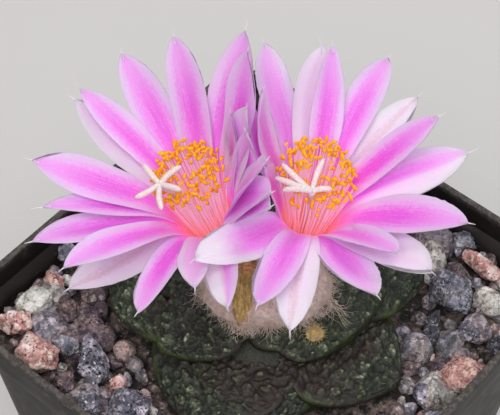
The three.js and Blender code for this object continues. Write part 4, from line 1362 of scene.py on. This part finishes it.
            rod(lobe, lobe_radius, *lobe_steps)
        name = f"{self.name}_stigma"
        tissue = PlainTissue(name, srgb(0.95, 0.90, 0.88), srgb(0.88, 0.80, 0.79), 4000, 0.07)
        return piece(name, bm, tissue.paint(), "pistil", [f"{self.name}_pistil"])

    def build(self) -> None:
        """Builds the whole bloom."""
        bm = new_mesh()
        for order, row in enumerate(self.tepals):
            self.tepal(bm, row, order)
        piece(f"{self.name}_petals", bm, TepalFinish().paint(), "tepal", [f"{self.name}_tepals"], sharp=48)
        self.tube()
        self.stamens()
        self.pistil()


@dataclass
class Wool:
    """The felted crown, its loose hairs, the old tuft and the dried flower.

    The cushion's outline is a share of its half widths and a height. A tail's row is u, v, count and length.
    A row of the dried flower's line is u, v, w and radius.
    """

    hairs: int = 3200
    stray: int = 520
    hair_seed: int = 5
    middle: tuple[float, float, float] = (0.2, -4.4, 0)
    half: tuple[float, float] = (9.8, 7.4)
    outline: tuple = ((0.41, 5.9), (0.88, 5.5), (1.0, 6.4), (0.9, 8.4), (0.61, 9.9), (0.24, 10.4),
                      (0.03, 10.5))
    tails: tuple = (
        (0.4, -10.8, 30, 3.8), (9.4, -7.6, 40, 4.2), (-9.2, -5.6, 24, 3.4), (-4.5, -11.2, 40, 1.6),
        (-2.6, -11.4, 40, 1.4), (-3.9, -12.6, 60, 1.1), (-2.3, -12.5, 50, 1.1))
    tuft: tuple[float, float, float] = (7.1, -11.4, 4.2)
    tuft_hairs: int = 300
    tuft_seed: int = 8
    dried: tuple = ((-3.6, -10.6, 5.6, 1.0), (-3.75, -9.9, 8.6, 1.2), (-3.5, -9.2, 11.2, 1.15),
                    (-3.1, -8.4, 13.9, 1.35), (-2.9, -7.8, 16.2, 1.5))

    def felt_at(self, share: float, azimuth: float) -> Vector:
        """Gives a point of the felted cushion's skin.

        Args:
            share: 0 under its edge and 1 at its crown.
            azimuth: the way round, in radians.

        Returns:
            The point.
        """
        r, w = trace(self.outline, share)
        way = Vector((math.cos(azimuth), math.sin(azimuth), 0))
        coarse = noise.noise(way * 1.6 + Vector((0, 0, share * 2.5)))
        lump = coarse * 0.09 + noise.noise(way * 5 + Vector((3, 0, share * 7))) * 0.04
        wide = r + lump * min(1.0, r / 0.4)
        out = PLAN.way(way.x * self.half[0] * wide, way.y * self.half[1] * wide, w + lump * 4.5)
        return PLAN.point(*self.middle) + out

    def felt(self) -> None:
        """Builds the matted cushion."""
        bm = new_mesh()
        wrap(bm, 44, 110, lambda t, s: self.felt_at(t, math.tau * (s % 1.0)))
        paint = FibreFinish("crown_felt", srgb(0.66, 0.54, 0.51), srgb(0.96, 0.87, 0.84)).paint()
        piece("crown_felt", bm, paint, "wool", ["crown_wool"])

    @staticmethod
    def hair(draw: Random, at: Vector, way: Vector, reach: float, curl: float, thick: float,
             steps: int = 5) -> Strand:
        """Makes one curly hair.

        Args:
            draw: the repeatable draws.
            at: its foot.
            way: the direction that it leaves in.
            reach: its length.
            curl: how much it turns at each step.
            thick: its radius at the foot.
            steps: how many straight stretches it has.

        Returns:
            Its points with their radii.
        """
        line = [(at.copy(), thick)]
        bend = any_way(draw) * curl
        for i in range(steps):
            jolt = any_way(draw) * curl
            way = (way + bend * 0.5 + jolt * 0.6).normalized()
            at = at + way * (reach / steps)
            line.append((at.copy(), thick * (1 - 0.7 * (i + 1) / steps)))
        return line

    def fuzz(self) -> None:
        """Builds the loose hairs over the crown and the long ones that stray over the tubercles."""
        draw = Random(self.hair_seed)
        crown = PLAN.point(*self.middle) + Vector((0, 0, 6))
        lines: list[Strand] = []
        count = self.hairs
        for _ in range(count):
            a = draw.random() * 2 * math.pi
            foot = self.felt_at(0.22 + 0.75 * draw.random(), a)
            out = (foot - crown).normalized()
            swirl = Vector((-out.y, out.x, 0)) * (draw.random() - 0.5) * 1.6
            way = (out * 0.7 + swirl + Vector((0, 0, -0.2 - 0.3 * draw.random()))).normalized()
            lines.append(self.hair(draw, foot, way, 0.9 + 1.6 * draw.random(), 0.75, 0.034))
        for _ in range(self.stray):
            a = draw.random() * 2 * math.pi
            foot = self.felt_at(0.12 + 0.25 * draw.random(), a)
            out = Vector((math.cos(a + PLAN.turn), math.sin(a + PLAN.turn), -0.45 - 0.2 * draw.random()))
            reach = 1.2 + 2.8 * draw.random() ** 2
            lines.append(self.hair(draw, foot, out.normalized(), reach, 1.0, 0.028, 7))
        for u, v, count, reach in self.tails:
            for _ in range(count):
                foot = PLAN.point(u + draw.gauss(0, 0.6), v + draw.gauss(0, 0.4), 6.3 + 1.6 * draw.random())
                way = PLAN.way(u * 0.05 + draw.gauss(0, 0.12), -0.85, -0.5).normalized()
                lines.append(self.hair(draw, foot, way, reach * (0.7 + 0.5 * draw.random()), 0.5, 0.032, 7))
        paint = FibreFinish("crown_hair", srgb(0.72, 0.62, 0.56), srgb(0.94, 0.86, 0.80), 300).paint()
        piece("crown_hairs", strands(lines), paint, "wool")

    def old_tuft(self) -> None:
        """Builds the small yellowish tuft on the front tubercle."""
        draw = Random(self.tuft_seed)
        at = PLAN.point(*self.tuft)
        bm = new_mesh()
        core = bmesh.ops.create_icosphere(bm, subdivisions=4, radius=1)["verts"]
        for vert in core:
            p = vert.co.copy()
            size = 1 + 0.34 * noise.noise(p * 1.9) + 0.16 * noise.noise(p * 5)
            vert.co = at + Vector((p.x * 1.15, p.y * 1.15, p.z * 0.92)) * size
        paint = FibreFinish("tuft_felt", srgb(0.74, 0.60, 0.34), srgb(0.95, 0.84, 0.58), 1600).paint()
        piece("old_tuft", bm, paint, "wool_tuft", ["tubercle_wool"])
        lines = []
        for _ in range(self.tuft_hairs):
            way = Vector((draw.gauss(0, 1), draw.gauss(0, 1), abs(draw.gauss(0, 0.8)))).normalized()
            foot = at + Vector((way.x * 1.05, way.y * 1.05, way.z * 0.85))
            lines.append(self.hair(draw, foot, way, 0.4 + 0.9 * draw.random() ** 2, 0.5, 0.04, 3))
        piece("old_tuft_hairs", strands(lines), paint, "wool_tuft")

    def dried_flower(self) -> None:
        """Builds the wrinkled remnant of an old flower."""
        bm = new_mesh()
        points = [(PLAN.point(u, v, w), r) for u, v, w, r in self.dried]

        def place(t: float, s: float) -> Vector:
            """Gives a point of the wrinkled skin."""
            k = t * (len(points) - 1)
            i = min(len(points) - 2, int(k))
            share = ease(0, 1, k - i) * 0.5 + (k - i) * 0.5
            at = points[i][0].lerp(points[i + 1][0], share)
            r = blend(points[i][1], points[i + 1][1], k - i)
            a = math.tau * (s % 1.0)
            way = PLAN.way(math.cos(a), math.sin(a))
            crease = 0.13 * math.cos(a * 9 + 3 * noise.noise(at * 0.5))
            crease += 0.22 * noise.noise(at * 0.7 + way * 1.4)
            band = 0.10 * noise.noise(Vector((0, 0, at.z * 2.6)) + way * 0.6)
            return at + way * r * (1 + crease + band) + Vector((0, 0, 0.2 * noise.noise(at + way * 2)))

        wrap(bm, 96, 64, place)
        piece("dried_remnant", bm, DriedFinish().paint(), "dried_remnant", ["dried_flower"])

    def build(self) -> None:
        """Builds all the wool."""
        self.felt()
        self.fuzz()
        self.old_tuft()
        self.dried_flower()


@dataclass
class Gravel:
    """The stones: the large ones keep the model's forms, the small ones fill the bed between them.

    A layer of grit is depth, count, smallest and largest half size. The bed's lumps stay within their own
    reach along the sides and across the corners.
    """

    kinds: dict[str, Granite] = field(default_factory=lambda: {
        "pink": Granite.PINK, "orange": Granite.PINK, "red": Granite.PINK, "cream": Granite.PINK,
        "brown": Granite.MAUVE, "beige": Granite.MAUVE, "mauve": Granite.MAUVE, "white": Granite.WHITE,
        "greywhite": Granite.GREY, "grey": Granite.GREY, "blue": Granite.GREY, "speckled": Granite.SPECKLED,
        "dark": Granite.DARK})
    bed_top: float = 58.0
    bed_base: float = 49.3
    pitch: float = 5.4
    lump_rows: int = 7
    lump_reach: float = 29.6
    lump_corner: float = 55.0
    lump_jitter: float = 1.8
    lump_seed: int = 20411
    grit_seed: int = 31
    inner_half: float = 33.0
    corner_cut: float = 8.0
    slab_half: float = 31.8
    slab_corner: float = 6.6
    slab_taper: float = 0.94
    layers: tuple = ((0.4, 1500, 1.1, 2.3), (1.6, 1300, 0.6, 1.5))
    facets: int = 10
    # Painted shade on the loose stones of the bed.
    painted_bed_shade: float = 0.8

    def kind_of(self, node: str) -> Granite:
        """Tells a stone's kind from its node's name."""
        words = node.split("_")
        if words[1] == "dark" and words[-1] == "speckled":
            return Granite.SPECKLED
        return self.kinds[words[1]]

    def large_stone(self, node: str, source: bpy.types.Object, paint: bpy.types.Material) -> bpy.types.Object:
        """Roughens one of the model's stones.

        Args:
            node: its name.
            source: its CAD object, which is only read.
            paint: its material.

        Returns:
            The finer stone.
        """
        low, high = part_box(node)
        span = max(high - low)
        blank = placed(node + "_blank", source.data.copy())
        weld = blank.modifiers.new("weld", "WELD")
        weld.merge_threshold = 1e-5
        voxel = blank.modifiers.new("voxel", "REMESH")
        voxel.mode = "VOXEL"
        voxel.voxel_size = max(0.12 * MM, span / (34))
        smooth = blank.modifiers.new("worn", "SMOOTH")
        smooth.factor = 0.5
        smooth.iterations = 2
        mesh = settled(blank)
        seed = Vector((sum(map(ord, node)) % 97, 3, 5))
        centre = (low + high) / 2
        for vert in mesh.vertices:
            p = vert.co / MM
            chips = noise.voronoi((p + seed) * 0.62)[0]
            facet = (0.5 - min(1.0, chips[1] - chips[0])) * 0.46
            rough = noise.fractal((p + seed) * 1.5, 0.9, 2.2, 3) * 0.20
            out = (vert.co - centre).normalized()
            vert.co += out * (rough - facet * 0.5 - 0.05) * MM
        name, slot = node.replace("stone_", "granite_"), self.kind_of(node).slot
        return piece(name, mesh, paint, slot, [node], sharp=36)

    def chip(self, bm: bmesh.types.BMesh, at: Vector, size: Vector, draw: Random, fineness: int,
             tone: Colour) -> None:
        """Adds one broken stone.

        Args:
            bm: the bed's mesh.
            at: its middle.
            size: its three half sizes.
            draw: the repeatable draws.
            fineness: subdivisions of the ball that it is cut from.
            tone: its colour.
        """
        made = bmesh.ops.create_icosphere(bm, subdivisions=fineness, radius=1)["verts"]
        shades = bm.verts.layers.float_color[TINT]
        cuts = []
        for _ in range(self.facets):
            way = any_way(draw).normalized()
            cuts.append((way, 0.60 + 0.26 * draw.random()))
        spin = Quaternion(any_way(draw), draw.random() * 3).to_matrix()
        shift = Vector((draw.random() * 50, 0, 0))
        for vert in made:
            p = vert.co.copy()
            for way, reach in cuts:
                over = p.dot(way) - reach
                if over > 0:
                    p -= way * over
            p *= 1.12 + 0.10 * noise.noise(p * 2.2 + shift)
            vert.co = at + spin @ Vector((p.x * size.x, p.y * size.y, p.z * size.z))
            vert[shades] = tone

    def tone(self, draw: Random) -> Colour:
        """Draws a loose stone's colour."""
        kind = draw.choice([Granite.PINK, Granite.GREY, Granite.GREY, Granite.MAUVE, Granite.MAUVE,
                            Granite.SPECKLED, Granite.SPECKLED, Granite.DARK, Granite.WHITE])
        shade = 0.75 + 0.5 * draw.random()
        # Painted shade: every loose stone is darker than the large stones of its kind.
        return (*(min(1.0, x * shade * self.painted_bed_shade) for x in kind.value[0][:3]), 1.0)

    def lumps(self, rosette: Rosette,
              taken: Sequence[tuple[Vector, float]]) -> Iterator[tuple[Vector, float]]:
        """Yields the middle and size of the bed's lumps, by the model's own rule."""
        draw = Draws(self.lump_seed)
        for i in range(-self.lump_rows, self.lump_rows + 1):
            for j in range(-self.lump_rows, self.lump_rows + 1):
                x = (i + 0.5 * (j & 1)) * self.pitch + (draw() - 0.5) * self.lump_jitter
                y = j * self.pitch * 0.9 + (draw() - 0.5) * self.lump_jitter
                size = 2.3 + 0.9 * draw()
                lift = -0.3 + 0.9 * draw()
                inside = max(abs(x), abs(y)) < self.lump_reach and abs(x) + abs(y) < self.lump_corner
                buried = any(math.hypot(x - at.x, y - at.y) < near for at, near in taken)
                if inside and rosette.beyond(x, y) >= size + 0.2 and not buried:
                    for _ in range(5):
                        draw()
                    yield Vector((x, y, self.bed_top + lift)), size

    def rounded(self, x: float, y: float) -> tuple[float, float]:
        """Pulls a point of the bed's slab inside the pot's round corners."""
        core = self.slab_half - self.slab_corner
        over_x, over_y = max(0.0, abs(x) - core), max(0.0, abs(y) - core)
        over = math.hypot(over_x, over_y)
        if over <= self.slab_corner:
            return x, y
        pull = self.slab_corner / over
        return math.copysign(core + over_x * pull, x), math.copysign(core + over_y * pull, y)

    def loose(self, rosette: Rosette, named: Sequence[str]) -> bpy.types.Object:
        """Builds the bed of small stones on a dark slab of painted shade."""
        taken = []
        for node in named:
            low, high = (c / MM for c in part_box(node))
            taken.append(((low + high) / 2, min(high.x - low.x, high.y - low.y) / 2 * 0.86))
        draw = Random(self.grit_seed)
        bm = new_mesh()
        half = self.inner_half
        slab = bmesh.ops.create_grid(bm, x_segments=60, y_segments=60, size=1)["verts"]
        shades = bm.verts.layers.float_color[TINT]
        for vert in slab:
            x, y = self.rounded(vert.co.x * self.slab_half, vert.co.y * self.slab_half)
            lift = noise.noise(Vector((x, y, 0)) * 0.8) * 0.5
            vert.co = Vector((x, y, self.bed_top - 1.0 + lift))
            # Painted shade: the slab under the stones is dark so that the gaps between them read as shade.
            vert[shades] = srgb(0.16, 0.14, 0.13)
        skirt = bmesh.ops.extrude_edge_only(bm, edges=[e for e in bm.edges if e.is_boundary])["geom"]
        for vert in (g for g in skirt if isinstance(g, bmesh.types.BMVert)):
            vert.co = Vector((vert.co.x * self.slab_taper, vert.co.y * self.slab_taper, self.bed_base))
        bmesh.ops.holes_fill(bm, edges=[e for e in bm.edges if e.is_boundary], sides=0)
        spots = []
        for at, size in self.lumps(rosette, taken):
            spots.append((at, size))
            wide, deep = 0.85 + 0.35 * draw.random(), 0.8 + 0.3 * draw.random()
            shape = Vector((size * wide, size * deep, size * 0.85))
            self.chip(bm, at, shape, draw, 3, self.tone(draw))
        for layer, count, small, big in self.layers:
            for _ in range(count):
                x, y = ((draw.random() * 2 - 1) * (half - 1.4) for _ in range(2))
                size = blend(small, big, draw.random() ** 1.4)
                z = self.bed_top - 0.3 + layer * draw.random() + size * 0.1
                here = Vector((x, y, z))
                across_corner = abs(x) + abs(y) > 2 * half - self.corner_cut
                if across_corner or max(abs(x), abs(y)) + size > half or rosette.beyond(x, y) < size * 0.75:
                    continue
                if any(math.hypot(x - c.x, y - c.y) < near + size * 0.45 for c, near in taken):
                    continue
                if any(math.hypot(x - c.x, y - c.y) < (near + size) * 0.62 for c, near in spots):
                    continue
                spots.append((here, size))
                flat, thin = 0.65 + 0.4 * draw.random(), 0.6 + 0.35 * draw.random()
                shape = Vector((size, size * flat, size * thin))
                self.chip(bm, here, shape, draw, 2, self.tone(draw))
        return piece("granite_bed", bm, GraniteFinish().mixed(), "gravel", ["gravel_bed"], sharp=24)

    def build(self, frame: dict[str, Any], rosette: Rosette) -> None:
        """Builds all the stones.

        Args:
            frame: the loaded model.
            rosette: the plant that the bed stays clear of.
        """
        named = sorted(n for n in frame["nodes"] if n.startswith("stone_"))
        finish = GraniteFinish()
        paints = {kind: finish.of_kind(kind) for kind in Granite}
        for node in named:
            self.large_stone(node, frame["nodes"][node], paints[self.kind_of(node)])
        self.loose(rosette, named)


LEFT_TEPALS: tuple[Tepal, ...] = (
    (174.8, 49.6, 25.1, 6.5, 10.9, -5.2, 7, Tone.PINK), (185.5, 47.4, 23, 5.1, 14, 4.3, 19, Tone.PINK),
    (200.8, 56.6, 24.9, 5.7, 11.1, 0.4, 14.3, Tone.PINK),
    (226.5, 40.2, 26.2, 5.7, 22.3, 0.3, 2.6, Tone.PINK),
    (223.1, 76.8, 21.6, 7.5, -3.9, -5.8, 2.7, Tone.WHITE),
    (252.6, 59.1, 24.6, 4.7, 1.1, 4.9, -1.4, Tone.STRONG),
    (272.8, 49.2, 22.1, 4.5, 11.1, 6.6, -10, Tone.LAVENDER),
    (293.2, 64.5, 24.1, 5.1, 2.5, -5.1, -0.8, Tone.STRIPED),
    (140.8, 63.6, 23.8, 6.6, -1.2, -3.7, 18.7, Tone.GREY),
    (133.2, 46.5, 25.1, 4.6, 40.3, -0.4, 15.5, Tone.PINK),
    (110.3, 60, 25.6, 5.9, 19.9, 2.7, -1.8, Tone.PINK), (81.8, 49.7, 24.8, 6.3, 18.6, 9.2, -13.4, Tone.PINK),
    (58.6, 54.7, 26, 7.1, 5.3, 3.2, -5.7, Tone.EDGED), (30.6, 36, 29, 6.5, -11.1, 5.6, -0.9, Tone.DEEP),
    (21.9, 25.1, 21.3, 4.1, -12.1, 2.4, 0.5, Tone.DEEP),
    (16.6, 26.7, 23.8, 5.7, -3.7, -0.2, 9.9, Tone.LAVENDER),
    (2.2, 37.2, 22.3, 4.7, -31.1, 1.7, 35.5, Tone.INTENSE),
    (-21.8, 30.7, 24.5, 6.3, 6.7, 3.8, -3.5, Tone.PINK),
    (-29.9, 45.3, 26.2, 4.8, -5.4, -7.5, 5.9, Tone.DEEP),
    (-27.7, 37.5, 24.9, 6.6, 6.7, -3.6, 5.3, Tone.CURLED))
RIGHT_TEPALS: tuple[Tepal, ...] = (
    (119.5, 66.4, 25, 5.9, 27.8, -10, 8.3, Tone.SOFT), (100.5, 65.3, 23, 7.2, 1, -9.6, 19.3, Tone.GREY),
    (86.2, 52.7, 23.6, 5.3, 30.3, 0.5, 21.2, Tone.PINK),
    (68.4, 68.6, 26.6, 5.4, 33.9, -2.7, -11.1, Tone.PINK),
    (50.1, 69.7, 22, 4.9, 2.5, -1.9, -8.4, Tone.RIBBED),
    (26.7, 30.1, 23.8, 4.7, 11.6, -2.1, -2.3, Tone.STRONG), (12.4, 60.9, 23, 6.6, 7.3, 3.2, 5.1, Tone.FADED),
    (-29, 40.9, 25.3, 7.8, 20.7, 2.8, -4.5, Tone.STRONG), (-63, 34.4, 22.7, 5.7, 16.5, 2.3, -1.9, Tone.PINK),
    (-51.9, 50.1, 24.7, 7.1, 9.1, 0.7, 1.8, Tone.PALE), (-78.1, 57.4, 23.4, 6.4, -2.1, 4.3, 3, Tone.MARGIN),
    (-105.1, 70.2, 27.1, 5.6, 0.7, 2.2, 11.4, Tone.WHITE), (-114.2, 66, 26, 5.5, 2.1, -0.6, 12, Tone.PINK),
    (-133.9, 68.4, 24.4, 6.9, 6.2, -7, 0.4, Tone.SHADED),
    (153.1, 39.9, 24.8, 4.4, -37.7, -1.7, 4, Tone.SALMON),
    (164.4, 43, 20.9, 4, -23.8, -14.7, -1.8, Tone.INTENSE),
    (184.2, 23.3, 15.4, 6, -1.3, 1.1, -6.6, Tone.INTENSE))


def blooms() -> list[Bloom]:
    """Lists the two blooms."""
    left = Bloom(
        name="bloom_left", axis=Axis(-5.5, -2.1, 12.7, 17.1, 9.6), tepals=LEFT_TEPALS, shift=(0.1, 1.7),
        spread=4.1, heights=(22.6, 19.4), style=(-2.6, -1.4, 23.3), seed=11,
        lobes=((126, 12, 4.0), (32, 10, 3.8), (333, 6, 3.6), (277, 6, 4.3), (207, 6, 3.9)))
    right = Bloom(
        name="bloom_right", axis=Axis(3.9, -2.2, 12.3, -11.1, 8.4), tepals=RIGHT_TEPALS, shift=(-0.6, 2.0),
        spread=4.6, heights=(21.8, 18.4), style=(-1.9, -2.2, 20.8), seed=29,
        lobes=((142, 14, 5.5), (166, 8, 5.4), (186, 5, 4.2), (72, 30, 4.6), (10, 10, 2.8)))
    return [left, right]


@dataclass
class Studio:
    """Pale floor, soft lights and the camera at the photographed angle."""

    azimuth: float = VIEW_AZIMUTH
    elevation: float = 51.2
    distance: float = 276.0
    lens: float = 129.6
    sensor: float = 36.0
    clip: tuple[float, float] = (0.01, 50.0)
    aim_right: float = -2.45
    aim_up: float = 12.4
    lit_height: float = 75.0
    floor_half: float = 2000.0

    def camera(self) -> None:
        """Sets the camera."""
        a = math.radians(self.azimuth)
        back = bearing(self.azimuth, self.elevation)
        right = Vector((math.cos(a), math.sin(a), 0))
        up = back.cross(right)
        target = Vector((0, 0, PLAN.rim)) + right * self.aim_right + up * self.aim_up
        data = bpy.data.cameras.new("camera")
        data.lens = self.lens
        data.sensor_width = self.sensor
        data.clip_start, data.clip_end = self.clip
        camera = placed("camera", data)
        camera.location = (target + back * self.distance) * MM
        camera.rotation_euler = Matrix((right, up, back)).transposed().to_euler()
        bpy.context.scene.camera = camera

    def lamp(self, name: str, azimuth: float, elevation: float, distance: float, size: float, power: float,
             colour: tuple[float, float, float] = (1, 1, 1)) -> None:
        """Adds a square soft light that looks at the plant.

        Args:
            name: its name.
            azimuth: where it stands round the pot, as the camera's azimuth is counted.
            elevation: its elevation.
            distance: how far off it is, in millimetres.
            size: its side, in millimetres.
            power: its power in watts.
            colour: its colour.
        """
        way = bearing(azimuth, elevation)
        data = bpy.data.lights.new(name, "AREA")
        data.size = size * MM
        data.energy = power
        data.color = colour
        lamp = placed(name, data)
        lamp.location = (Vector((0, 0, self.lit_height)) + way * distance) * MM
        lamp.rotation_euler = way.to_track_quat("Z", "Y").to_euler()

    def build(self) -> None:
        """Sets the floor, the world, the lights and the camera."""
        bm = bmesh.new()
        bmesh.ops.create_grid(bm, x_segments=4, y_segments=4, size=self.floor_half * MM)
        mesh = poured("floor", bm)
        s = Shader("floor_paper")
        colour = s.mix(s.grain(3.0, 2) * 0.5, srgb(0.83, 0.82, 0.81), srgb(0.86, 0.85, 0.84))
        mesh.materials.append(s.finish(colour, 0.75))
        floor = placed("floor", mesh)
        world = bpy.data.worlds.new("studio")
        world.use_nodes = True
        backdrop = world.node_tree.nodes["Background"]
        backdrop.inputs["Color"].default_value = (0.93, 0.95, 1.0, 1)
        backdrop.inputs["Strength"].default_value = 0.30
        bpy.context.scene.world = world
        bpy.context.scene.view_settings.view_transform = "Standard"
        self.lamp("key", self.azimuth - 14, 60, 700, 400, 3.5, (1.0, 0.98, 0.96))
        self.lamp("fill", self.azimuth + 58, 42, 800, 500, 1.4, (0.94, 0.97, 1.0))
        self.lamp("back", self.azimuth + 172, 48, 800, 300, 1.5)
        self.camera()


def main() -> None:
    """Loads the model, dresses each part of it and sets the studio."""
    logging.basicConfig(level=logging.INFO, format="%(message)s")
    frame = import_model()
    Studio().build()
    Pot().build()
    soil = frame["nodes"]["potting_soil"]
    soil.data.materials.clear()
    soil.data.materials.append(SoilFinish().paint())
    rosette = Rosette()
    rosette.build()
    Wool().build()
    for bloom in blooms():
        bloom.build()
    Gravel().build(frame, rosette)


if __name__ == "__main__":
    main()
